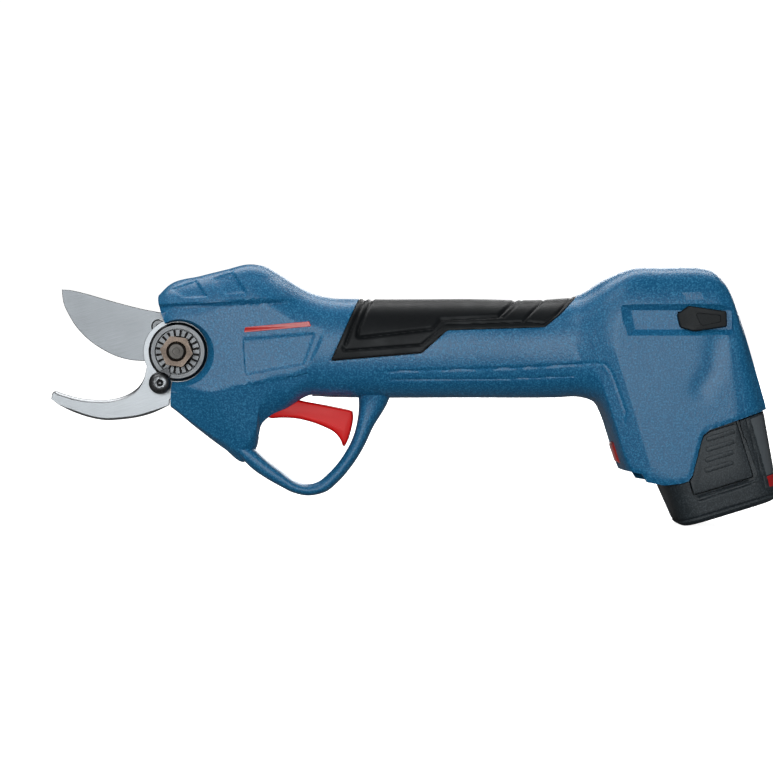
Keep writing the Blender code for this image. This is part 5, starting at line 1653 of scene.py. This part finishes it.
@dataclass
class PivotStack:
    """Cover disc, notched lock ring, nut, bolt, and the screw and tab that lock the ring."""

    disc_back: float = -8.4
    disc_radius: float = 13.4
    disc_thickness: float = 2.4
    ring_radius: float = 10.0
    ring_teeth: int = 20
    bolt_radius: float = 4.0
    nut_flats: float = 13.0
    nut_height: float = 6.2
    lock_screw: Point2 = (-7.8, -14.2)

    @property
    def disc_front(self) -> float:
        """Y of the disc's near face."""
        return self.disc_back - self.disc_thickness

    def disc(self) -> None:
        """The cover disc: a bevelled rim, a raised land and the seat of the ring."""
        front, back, r = self.disc_front, self.disc_back, self.disc_radius
        seat, bore = self.ring_radius + 0.3, self.bolt_radius + 0.25
        profile = [(bore, back), (r - 0.3, back), (r, back - 0.3), (r, front + 1.15),
            (r - 0.15, front + 0.95), (r - 1.0, front + 0.18), (r - 1.25, front), (seat + 0.2, front),
            (seat, front + 0.2), (seat, back - 0.4), (bore, back - 0.4)]
        disc = Workshop.turned("cover_plate", profile, sides=144)
        Workshop.dress(disc, Finishes.disc, "housing", ["cover_disc"], "aluminium", 25)

    def ring(self) -> None:
        """The lock ring: square teeth copied round a stepped hub."""
        high, low = self.disc_back - 0.7, self.disc_front - 0.2
        root, tip = self.ring_radius - 2.5, self.ring_radius
        half_in, half_out = 0.74, 1.04
        tooth_outline = [(root - 0.4, -half_in), (tip - 0.15, -half_out), (tip, -half_out + 0.2),
            (tip, half_out - 0.2), (tip - 0.15, half_out), (root - 0.4, half_in)]
        flat = np.array(tooth_outline)
        tooth = Workshop.skin("ring_teeth", np.stack([np.insert(inset(flat, by), 1, y, axis=1) for y,
            by in ((low, 0.14), (low + 0.16, 0.0), (high, 0.0))]))
        for vertex in tooth.data.vertices:
            vertex.co -= PIVOT
        turn = (0.0, math.tau / self.ring_teeth, 0.0)
        teeth = Repeaters.get(True).apply(tooth, self.ring_teeth, PIVOT, turn, Finishes.disc)
        rim = Workshop.turned("lock_rim", [(tip - 0.35, low + 0.12), (tip, low + 0.3), (tip, high),
            (tip - 0.35, high)], sides=120)
        Workshop.carve(rim, [teeth], "UNION")
        Workshop.dress(rim, Finishes.disc, "housing", ["lock_ring"], "dark_steel", 30)
        bore = self.bolt_radius + 0.25
        # The hub sits 1.5 mm behind the teeth's near face and fills the slots between them; its near-black
        # colour is painted shade in those slots.
        hub = Workshop.turned("lock_hub", [(bore, low + 0.9), (root - 1.2, low + 0.9),
            (root - 0.9, low + 1.5), (tip - 0.4, low + 1.5), (tip - 0.4, high), (bore, high)], sides=96)
        Workshop.dress(hub, Finishes.slot_shade, "housing", slot="dark_steel", angle=30)

    def nut(self) -> None:
        """The hexagon nut with its corners turned down."""
        corner = self.nut_flats / math.sqrt(3)
        high = self.disc_front - 0.5
        low = high - self.nut_height
        outline = arc((0, 0), corner, -8, 352, 6)[:-1]
        nut = Workshop.slab("hex_nut", outline, low, high)
        form = Workshop.turned("nut_form", [(0, low - 1), (corner - 0.3, low - 0.1), (corner - 0.16, low),
            (corner + 0.4, low + 0.5), (corner + 0.4, high - 0.3), (corner - 0.2, high + 0.01),
            (0, high + 1)], sides=96)
        Workshop.carve(nut, [form], "INTERSECT")
        r = self.bolt_radius
        bore = Workshop.turned("nut_bore", [(0, low - 2), (r + 1.1, low - 0.5), (r + 0.15, low + 0.42),
            (r + 0.15, high + 2), (0, high + 2)], sides=64)
        Workshop.carve(nut, [bore])
        Workshop.dress(nut, Finishes.nut, "housing", ["pivot_nut"], "nut_bronze", 20)

    def bolt(self) -> None:
        """The pivot bolt, with a threaded chamfered end and a socket head behind."""
        end = self.disc_front - 0.5 - self.nut_height - 0.6
        r = self.bolt_radius
        thread = []
        y, pitch = end + 0.9, 0.8
        while y < end + 6.5:
            thread += [(r, y), (r - 0.32, y + pitch * 0.5)]
            y += pitch
        head = 13.3
        profile = ([(0, end + 0.12), (1.5, end + 0.12), (1.7, end), (r - 0.75, end), (r - 0.15, end + 0.6)]
            + thread + [(r, end + 7.2), (r, head), (7.1, head), (7.5, head + 0.4), (7.5, head + 3.2),
            (7.2, head + 3.8), (6.5, head + 4.2), (0, head + 4.2)])
        bolt = Workshop.turned("threaded_bolt", profile, sides=64)
        Workshop.carve(bolt, [Workshop.slab("bolt_socket", lobed(3.5, 2.6), head + 2, head + 6)])
        Workshop.dress(bolt, Finishes.bolt, "housing", ["pivot_bolt"], "dark_steel", 25)

    def lock(self) -> None:
        """The domed lock screw with its lobed recess, and the tab it holds in the ring's teeth."""
        tab_front = self.disc_front - 0.5
        x, z = self.lock_screw
        y = tab_front - 1.7
        head = Workshop.turned("lock_screw_head", [(0, tab_front + 3.8), (1.6, tab_front + 3.8), (1.6, y),
            (4.7, y), (5.0, y - 0.25), (5.0, y - 1.1), (4.75, y - 1.9), (4.2, y - 2.6), (3.3, y - 3.05),
            (2.2, y - 3.2), (0, y - 3.2)], (x, z), 72)
        Workshop.carve(head, [Workshop.slab("lock_recess", moved(lobed(2.6, 1.8, phase=0.3), (x, z)),
            y - 5, y - 0.9)])
        Workshop.carve(head, [Workshop.turned("lock_drill", [(0, y - 1.4), (1.7, y - 1.4), (1.7, y - 0.7),
            (0, y + 1.4)], (x, z), 32)])
        Workshop.dress(head, Finishes.chrome, "housing", ["lock_screw"], "dark_steel", 28)
        reach = math.hypot(x, z)
        out, side = np.array([x, z]) / reach, np.array([-z, x]) / reach
        tip = self.ring_radius - 1.6
        corners = [out * a + side * b for a, b in ((tip, 0.5), (tip + 2.4, 2.4), (reach + 1.5, 3.6),
            (reach + 4, 0), (reach + 1.5, -3.6), (tip + 2.4, -2.4), (tip, -0.5))]
        tab = Workshop.layers("lock_finger", np.array(rounded([tuple(c) for c in corners], 0.9)), (
            (tab_front - 1.4, 0.25), (tab_front - 1.15, 0.0), (tab_front - 0.1, 0.0), (tab_front, 0.1)))
        Workshop.carve(tab, [Workshop.rod("tab_hole", 1.9, tab_front - 3, tab_front + 2, (x, z), sides=32)])
        Workshop.dress(tab, Finishes.oxide, "housing", ["lock_tab"], "dark_steel", 25)

    def build(self) -> None:
        """Makes every piece of the stack."""
        self.disc()
        self.ring()
        self.nut()
        self.bolt()
        self.lock()


# ------------------------------------------------------------------ controls


@dataclass
class TriggerLever:
    """The trigger: a rounded lever with a hollowed finger face."""

    pivot: Point2 = (42.0, -26.0)
    half_width: float = 6.2

    def build(self) -> None:
        """Makes the lever with rounded edges and the holes that the frame's own pieces need."""
        x, z = self.pivot
        top = [(-3.4, 1.5), (-1.5, 3.8), (3, 4.4), (10.5, 4.2), (17, 3.0), (26, 1.4), (35.6, -0.5)]
        end = [(37.4, -1.2), (37.7, -4.5), (36.8, -9.5), (35.3, -14.5), (33.9, -17.2)]
        front = [(32.9, -17.0), (32.0, -14.4), (30.4, -12.2), (27.5, -9.8), (20, -6.6), (12, -4.6),
            (4.6, -4.2), (0, -4.4), (-3.4, -2.6)]
        outline = np.concatenate([spline(top, 1.2, False), spline(end, 1.2, False),
            spline(front, 1.2, False)]) + (x, z)
        w = self.half_width
        levels = [(-w, 1.05), (-w + 0.12, 0.72), (-w + 0.42, 0.36), (-w + 0.9, 0.12), (-w + 1.6, 0.0),
            (w - 1.6, 0.0), (w - 0.9, 0.12), (w - 0.42, 0.36), (w - 0.12, 0.72), (w, 1.05)]
        lever = Workshop.layers("finger_lever", outline, levels)
        pocket = [Workshop.rod("hole_pin", 1.8, -w - 2, w + 2, self.pivot, sides=32),
            Workshop.rod("pocket_spring", 3.2, 1.6, w + 1, self.pivot, sides=40),
            Workshop.slab("notch_spring", [(x - 2.4, z + 1), (x + 1.6, z + 1), (x + 1.6, z + 6),
            (x - 2.4, z + 6)], 4.4, w + 1)]
        magnet = []
        for y, r in ((z + 6, 1.9), (z + 2.2, 1.9)):
            magnet.append([(x + 4.5 + r * math.cos(a), -1.8 + r * math.sin(a), y) for a in np.arange(24)
                * math.tau / 24])
        pocket.append(Workshop.skin("pocket_magnet", np.array(magnet)))
        for sign in (-1, 1):
            side = Workshop.slab("side_hollow", rounded([(x + 12, z - 1.4), (x + 30, z - 3.6),
                (x + 34.2, z - 6.6), (x + 33.2, z - 9.8), (x + 26, z - 6.4), (x + 12, z - 2.6)], 1.2),
                *sorted((sign * (w - 0.35), sign * (w + 2))))
            pocket.append(side)
        Workshop.carve(lever, pocket)
        Workshop.dress(lever, Finishes.trigger, "trigger_lever", ["trigger"], "trigger_red", 25)


@dataclass
class PowerSlider:
    """The power switch's knob on its stem, in the thumb recess."""

    centre: Point2 = (236.5, 14.6)
    floor: float = -22.8
    top: float = -26.1
    wall: float = 2.7

    def height(self, x: np.ndarray) -> np.ndarray:
        """Y of the knob's top face at each X: up a ramp to its ridge, then gently down.

        Args:
            x: places along the knob.

        Returns:
            The face's Y at each place.
        """
        start, ridge, end = 225.4, 231.8, 247.8
        up = self.top + 2.0 * np.clip((ridge - x) / (ridge - start), 0, 1)
        return up + 0.55 * np.clip((x - ridge) / (end - ridge), 0, 1)

    def build(self) -> None:
        """Makes the knob from rings and joins its stem to it."""
        outer = [(225.3, 16.6), (230.4, 20.4), (247.5, 18.0), (247.7, 11.0), (233.0, 8.8), (226.7, 10.6)]
        inner = [(233.6, 16.4), (234.8, 17.3), (244.8, 16.2), (244.9, 13.1), (236.8, 11.4), (235.4, 12.3)]
        hull, plate = np.array(rounded(outer, 0.9, 4)), np.array(rounded(inner, 0.5, 4))
        rings = []
        for flat, lower in ((hull, None), (hull, 0.8), (inset(hull, 0.15), 0.32), (inset(hull, 0.5), 0.04),
                (inset(hull, 0.9), 0.0), (plate, 0.0), (inset(plate, 0.25), 0.32)):
            y = np.full(len(flat), self.floor - 0.3) if lower is None else self.height(flat[:, 0]) + lower
            rings.append(np.stack([flat[:, 0], y, flat[:, 1]], axis=-1))
        knob = Workshop.skin("switch_knob", np.stack(rings))
        x, z = self.centre
        stem = Workshop.slab("stem", [(x - 2.4, z - 2.7), (x + 4, z - 2.7), (x + 4, z + 2.7),
            (x - 2.4, z + 2.7)], self.floor - 1, self.floor + self.wall + 1)
        Workshop.carve(knob, [stem], "UNION")
        Workshop.dress(knob, Finishes.knob, "slider", ["power_slider"], "grip_black", 24)


@dataclass
class StatusWindow:
    """The charge lamp's lens in the rear block's front wall."""

    def build(self) -> None:
        """Makes the lens with a softened front edge."""
        lens = LeaningBlock(2.8, 8.0, 5.0).solid("lamp_lens", 0.9)
        Workshop.dress(lens, Finishes.lens, "housing", ["status_window"], "lens_smoke", 40)


# ------------------------------------------------------------------ battery


@dataclass
class BatteryPack:
    """The battery pack: flared case, tower, label, and a ribbed release button on each side."""

    foot: Point2 = (REAR + 70.9, -73.0)
    base_half: Point2 = (23.4, 22.0)
    flare: Point2 = (0.119, 0.08)
    squareness: float = 4.6
    tower_half: float = 20.6
    tower_top: float = 79.0
    cell_radius: float = 9.0
    button_face: float = 23.9
    button: tuple[float, float, float, float] = (-14.5, 13.2, 13.4, 38.5)

    def placed(self, points: np.ndarray) -> np.ndarray:
        """Points of the pack's own (u, y, w) frame, in the pruner's.

        Args:
            points: an array ending in u, y, w.

        Returns:
            The same points in the pruner's frame.
        """
        u, y, w = points[..., 0], points[..., 1], points[..., 2]
        s, c = math.sin(TILT), math.cos(TILT)
        return np.stack([self.foot[0] + u * c - w * s, y, self.foot[1] + u * s + w * c], axis=-1)

    def ring(self, w: float, shrink: float = 0.0, around: int = 256) -> np.ndarray:
        """The case's outline at a height, evenly spaced.

        Args:
            w: the height up the pack's axis.
            shrink: how far inside the case it lies.
            around: how many points.

        Returns:
            An array of (u, y, w).
        """
        a = self.base_half[0] + self.flare[0] * w - shrink
        b = self.base_half[1] + self.flare[1] * w - shrink
        u, y = squared(np.linspace(0, math.tau, 1441), 2 / self.squareness)
        return np.insert(evened(np.stack([-u * a, y * b], axis=-1), around), 2, w, axis=1)

    def relief(self, points: np.ndarray) -> np.ndarray:
        """Grooves and the label's bed, pressed into the case's sides.

        Args:
            points: an array ending in u, y, w.

        Returns:
            The moved points.
        """
        u, y, w = points[..., 0], points[..., 1], points[..., 2]
        deep = np.zeros(u.shape)
        flat = np.abs(y) > 15
        for path, depth, half in ((((-12.5, 11.6), (12.6, 12.0)), 0.8, 0.42),
                (((-12.5, 9.9), (12.6, 10.3)), 0.45, 0.30), (((17.9, 60), (17.6, 6.2), (18.8, 4.6),
                (40, 4.4)), 0.45, 0.34)):
            deep = np.maximum(deep, depth * np.exp(-(distance_to_path(u, w, path) / half) ** 2) * flat)
        deep = np.maximum(deep, 0.6 * np.exp(-((w - 2.9) / 0.45) ** 2))
        moved_points = points.copy()
        flat_length = np.maximum(np.hypot(u, y), 1e-6)
        moved_points[..., 0] -= u / flat_length * deep * 0.4
        moved_points[..., 1] -= np.sign(y) * deep * np.clip(np.abs(y) / 15, 0, 1)
        return moved_points

    def prism(self, name: str, outline: Points, y_low: float, y_high: float) -> bpy.types.Object:
        """A solid with an outline in the pack's (u, w) plane between two Y faces.

        Args:
            name: the object's name.
            outline: points in u and w, in order.
            y_low: the lower face's Y.
            y_high: the upper face's Y.

        Returns:
            The object.
        """
        flat = np.asarray(outline, float)
        rings = np.stack([np.insert(flat, 1, y, axis=1) for y in (y_low, y_high)])
        return Workshop.skin(name, self.placed(rings))

    def case(self) -> None:
        """The case with its pockets, the tower that goes up the housing, and the L-shaped gaps."""
        heights = [(0.0, 2.2), (0.25, 1.5), (0.7, 0.9), (1.4, 0.3),
            (2.0, 0.0)] + [(w, 0.0) for w in np.arange(2.3, 14, 0.28)] + [(w, 0.0)
            for w in np.arange(14, 44.5, 0.7)]
        rings = np.stack([self.ring(w, s) for w, s in heights])
        case = Workshop.skin("pack_shell", self.placed(self.relief(rings)))
        limit = Workshop.slab("pack_limit", under_socket(0.6), -80, 80)
        Workshop.carve(case, [limit], "INTERSECT")
        tower_rings = []
        for w, shrink in ((8.0, 0.0), (self.tower_top - 1.2, 0.0), (self.tower_top - 0.35, 0.35),
                (self.tower_top, 1.2)):
            u, y = squared(np.arange(160) * math.tau / 160, 0.5)
            half = self.tower_half - shrink
            tower_rings.append(np.stack([-u * half, y * half, np.full(160, w)], axis=-1))
        Workshop.carve(case, [Workshop.skin("pack_tower", self.placed(np.stack(tower_rings)))], "UNION")
        cutters = []
        for i, (u, y) in enumerate(((-9.6, -9.7), (-9.6, 9.7), (8.4, 0.0))):
            angles = np.arange(48) * math.tau / 48
            r = self.cell_radius + 0.35
            cutters.append(Workshop.skin(f"pocket_{i}", self.placed(np.stack([np.stack([u + r
                * np.cos(angles), y + r * np.sin(angles), np.full(48, w)], axis=-1)
                for w in (10.5, 84.0)]))))
        u0, u1, w0, w1 = self.button
        for sign in (-1, 1):
            inner = sign * (self.button_face - 4.7)
            far = sign * (self.button_face + 8)
            cutters.append(self.prism(f"pocket_button_{sign + 1}",
                rounded([(u0 - 0.5, w0 - 0.5), (u1 + 0.5, w0 - 0.5), (u1 + 0.5, w1 + 12),
                (u0 - 0.5, w1 + 12)], 0.6), *sorted((inner, far))))
            shallow = sign * (self.button_face - 2.2)
            cutters.append(self.prism(f"gap_{sign + 1}", rounded([(u1 + 0.3, w0 - 1.5),
                (u1 + 2.6, w0 + 0.6), (u1 + 1.9, w1 - 8), (u1 + 1.3, w1 - 7), (u1 + 1.9, w1 + 12),
                (u1 - 0.5, w1 + 12), (u1 - 0.2, w0 + 1), (u1 - 2.5, w0 - 0.2), (u1 - 1.8, w0 - 1.4)], 0.5),
                *sorted((shallow, far))))
        Workshop.carve(case, cutters)
        Workshop.dress(case, Finishes.pack, "battery", ["battery_case"], "battery_black", 30)

    def wrap(self, name: str, w_low: float, w_high: float, u_low: float, lift: float, finish: Finish,
            slot: str) -> None:
        """A thin film round the pack's rear corner and back.

        Args:
            name: its name.
            w_low: its lower edge.
            w_high: its upper edge.
            u_low: where it starts on the sides.
            lift: how far it stands out of the case.
            finish: what it wears.
            slot: the record's slot.
        """
        levels = np.arange(w_low, w_high + 0.01, (w_high - w_low) / 24)
        rings = []
        for i, w in enumerate(levels):
            shrink = 0.1 if i in (0, len(levels) - 1) else 0.0
            loops = []
            for offset in (lift - shrink, -0.5):
                ring = self.ring(w, -offset, 512)
                ring = ring[ring[:, 0] > u_low]
                order = np.argsort(np.arctan2(ring[:, 1], ring[:, 0]))
                ring = ring[order]
                share = np.linspace(0, len(ring) - 1, 96)
                loops.append(np.stack([np.interp(share, np.arange(len(ring)), ring[:, k])
                    for k in range(3)], axis=-1))
            rings.append(np.concatenate([loops[0], loops[1][::-1]]))
        film = Workshop.skin(name, self.placed(np.stack(rings)))
        Workshop.carve(film, [Workshop.slab("film_limit", under_socket(1.4), -80, 80)], "INTERSECT")
        Workshop.dress(film, finish, "battery", slot=slot, angle=40)

    def buttons(self) -> None:
        """The release buttons: rounded panels with four outlined ribs each."""
        u0, u1, w0, w1 = self.button
        for side, sign in (("left", -1), ("right", 1)):
            face = sign * self.button_face
            outline = np.array(rounded([(u0, w0), (u1, w0), (u1, w1), (u0, w1)], 0.9, 5))
            rings = [np.insert(inset(outline, by), 1, face - sign * deep, axis=1) for deep,
                by in ((3.2, 0.0), (0.5, 0.0), (0.15, 0.15), (0.0, 0.5))]
            panel = Workshop.skin(f"release_{side}", self.placed(np.stack(rings)))
            limit = Workshop.slab("release_limit", under_socket(0.9), -80, 80)
            Workshop.carve(panel, [limit], "INTERSECT")
            step = self.placed(np.array([(-1.6, 0.0, -4.4)]))[0] - self.placed(np.array([(0.0, 0.0, 0.0)]))[0]
            for grow, deep, operation in ((0.42, (-0.35, 1.5), "DIFFERENCE"), (0.0, (-0.6, 0.0), "UNION")):
                bar = np.array(rounded([(-2.0 - grow, -1.0 - grow), (11.2 + grow, -1.0 - grow),
                    (11.2 + grow, 1.0 + grow), (-2.0 - grow, 1.0 + grow)], 0.9 + grow, 6))
                if operation == "UNION":
                    rows = ((-1.2, 0.0), (0.12, 0.0), (0.32, 0.18), (0.38, 0.42))
                    solid = np.stack([np.insert(inset(bar, by), 1, face + sign * out, axis=1) for out,
                        by in rows])
                else:
                    solid = np.stack([np.insert(bar, 1, face + sign * out, axis=1) for out in deep])
                start = self.placed(np.array([(0.0, 0.0, 35.5)]))[0] * MM
                base = self.placed(solid) - self.placed(np.array([(0.0, 0.0, 0.0)]))[0]
                shape = Workshop.skin(f"bars_{side}", base)
                for vertex in shape.data.vertices:
                    vertex.co -= PIVOT
                bars = Repeaters.get(False).apply(shape, 4, Vector(start) + PIVOT, step * MM, Finishes.pack)
                Workshop.carve(panel, [bars], operation)
            Workshop.dress(panel, Finishes.pack, f"button_{side}", [f"battery_button_{side}"],
                "battery_black", 28)

    def build(self) -> None:
        """Makes the case, the films and the buttons."""
        self.case()
        self.wrap("pack_label", 12.0, 41.0, 19.4, 0.16, Finishes.label, "aluminium")
        self.wrap("pack_stripe", 6.4, 11.4, 19.4, 0.16, Finishes.stripe, "trigger_red")
        self.buttons()


@dataclass
class HousingScrews:
    """The screws that hold the halves together, sunk in the far side."""

    head_radius: float = 2.4

    def build(self) -> None:
        """Makes each screw where the frame's own one is."""
        for i, (x, z, _) in enumerate(SCREWS):
            low, high = (np.array(corner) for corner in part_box(f"housing_screw_{i + 1}"))
            y0, y1 = low[1] / MM, high[1] / MM
            r = self.head_radius
            screw = Workshop.turned(f"lobed_screw_{i + 1}", [(0, y0), (0.7, y0), (1.3, y0 + 1.0),
                (1.3, y1 - 1.7), (r, y1 - 1.6), (r, y1 - 0.6), (r - 0.25, y1 - 0.2), (r - 0.8, y1),
                (0, y1)], (x, z), 40)
            Workshop.carve(screw, [Workshop.slab("screw_recess", moved(lobed(1.4, 1.0, 6, 6), (x, z)),
                y1 - 1.0, y1 + 1)])
            Workshop.dress(screw, Finishes.chrome, "housing", [f"housing_screw_{i + 1}"], "gear_steel", 30)


def stage() -> None:
    """A pale floor that curves up behind, soft lights and the camera."""
    floor_z = CAD_BOX[0][2]
    rows = [(-3.0, floor_z)] + [(1.2 + 1.2 * math.sin(a), floor_z + 1.2 * (1 - math.cos(a)))
        for a in np.linspace(0, math.pi / 2, 17)] + [(2.4, 4.0)]
    verts = [(x, y, z) for y, z in rows for x in (-4.0, 4.0)]
    faces = [(2 * i, 2 * i + 1, 2 * i + 3, 2 * i + 2) for i in range(len(rows) - 1)]
    mesh = bpy.data.meshes.new("studio_floor")
    mesh.from_pydata(verts, [], faces)
    mesh.shade_smooth()
    floor = bpy.data.objects.new("studio_floor", mesh)
    bpy.context.scene.collection.objects.link(floor)
    tree = Tree("studio_paper")
    tree.feed("Base Color", tree.mix(tree.noise(3.0), (0.86, 0.86, 0.86), (0.90, 0.90, 0.90)))
    tree.feed("Roughness", 0.9)
    tree.feed("Specular IOR Level", 0.0)
    tree.feed("Emission Color", (1.0, 1.0, 1.0, 1.0))
    tree.feed("Emission Strength", 0.93)
    dim = tree.node("ShaderNodeBsdfDiffuse", None, {"Color": (0.16, 0.16, 0.16, 1.0)})
    seen = tree.node("ShaderNodeLightPath").outputs["Is Camera Ray"]
    both = tree.node("ShaderNodeMixShader", None, {0: seen, 1: dim.outputs[0], 2: tree.shader.outputs[0]})
    tree.tree.links.new(both.outputs[0], tree.tree.nodes["Material Output"].inputs[0])
    mesh.materials.append(tree.material)

    bpy.context.scene.view_settings.view_transform = "Standard"
    world = bpy.data.worlds.new("studio")
    world.use_nodes = True
    nodes, links = world.node_tree.nodes, world.node_tree.links
    nodes["Background"].inputs[1].default_value = 1.0
    path, shade = nodes.new("ShaderNodeLightPath"), nodes.new("ShaderNodeMix")
    shade.data_type = "RGBA"
    shade.inputs[6].default_value = (0.085, 0.085, 0.09, 1)
    shade.inputs[7].default_value = (1.0, 1.0, 1.0, 1)
    links.new(path.outputs["Is Camera Ray"], shade.inputs[0])
    links.new(shade.outputs[2], nodes["Background"].inputs[0])
    bpy.context.scene.world = world

    def area(name: str, place: Sequence[float], target: Sequence[float], size: tuple[float, float],
            power: float, tint: Colour = (1.0, 1.0, 1.0)) -> None:
        """One soft rectangular light.

        Args:
            name: the light's name.
            place: where it stands.
            target: what it faces.
            size: its width and height.
            power: its power in watts.
            tint: its colour.
        """
        light = bpy.data.lights.new(name, "AREA")
        light.shape = "RECTANGLE"
        light.size, light.size_y = size
        light.energy = power
        light.color = tint
        obj = bpy.data.objects.new(name, light)
        obj.location = place
        obj.rotation_euler = (Vector(target) - Vector(place)).to_track_quat("-Z", "Y").to_euler()
        bpy.context.scene.collection.objects.link(obj)

    middle = (0.0, 0.0, 0.06)
    area("front_light", (-0.06, -1.50, 0.13), middle, (1.0, 0.62), 13.0, (0.94, 0.98, 1.0))
    area("key_light", (-0.55, -0.75, 0.95), middle, (0.5, 0.4), 2.6)
    area("back_light", (0.45, 1.5, 0.55), middle, (1.0, 0.8), 12.0)
    area("rim_light", (-0.05, 0.46, 1.05), middle, (1.3, 0.35), 9.0)

    lens = bpy.data.cameras.new("camera")
    lens.lens = 100.0
    lens.sensor_width = 36.0
    lens.clip_start = 0.01
    view_width = 0.3556
    distance = view_width * lens.lens / lens.sensor_width
    camera = bpy.data.objects.new("camera", lens)
    camera.location = (PIVOT.x + 0.095, -distance, PIVOT.z - 0.0138)
    camera.rotation_euler = (math.pi / 2, 0.0, 0.0)
    bpy.context.scene.collection.objects.link(camera)
    bpy.context.scene.camera = camera


def dress_frame() -> None:
    """Gives every piece of the frame the detailed finish of its slot."""
    slots = {entry["node"]: entry["material_slot"] for entry in frame["record"]["subparts"]}
    for name, obj in frame["nodes"].items():
        finish = SLOT_FINISH[slots[name]]
        for holder in obj.material_slots:
            holder.material = finish.material()


def main() -> None:
    """Builds every sub-assembly in order."""
    logging.basicConfig(level=logging.INFO, format="%(name)s %(message)s")
    dress_frame()
    Housing(HousingForm()).build()
    CuttingHead().build()
    PivotStack().build()
    TriggerLever().build()
    PowerSlider().build()
    StatusWindow().build()
    BatteryPack().build()
    HousingScrews().build()
    stage()


if __name__ == "__main__":
    main()
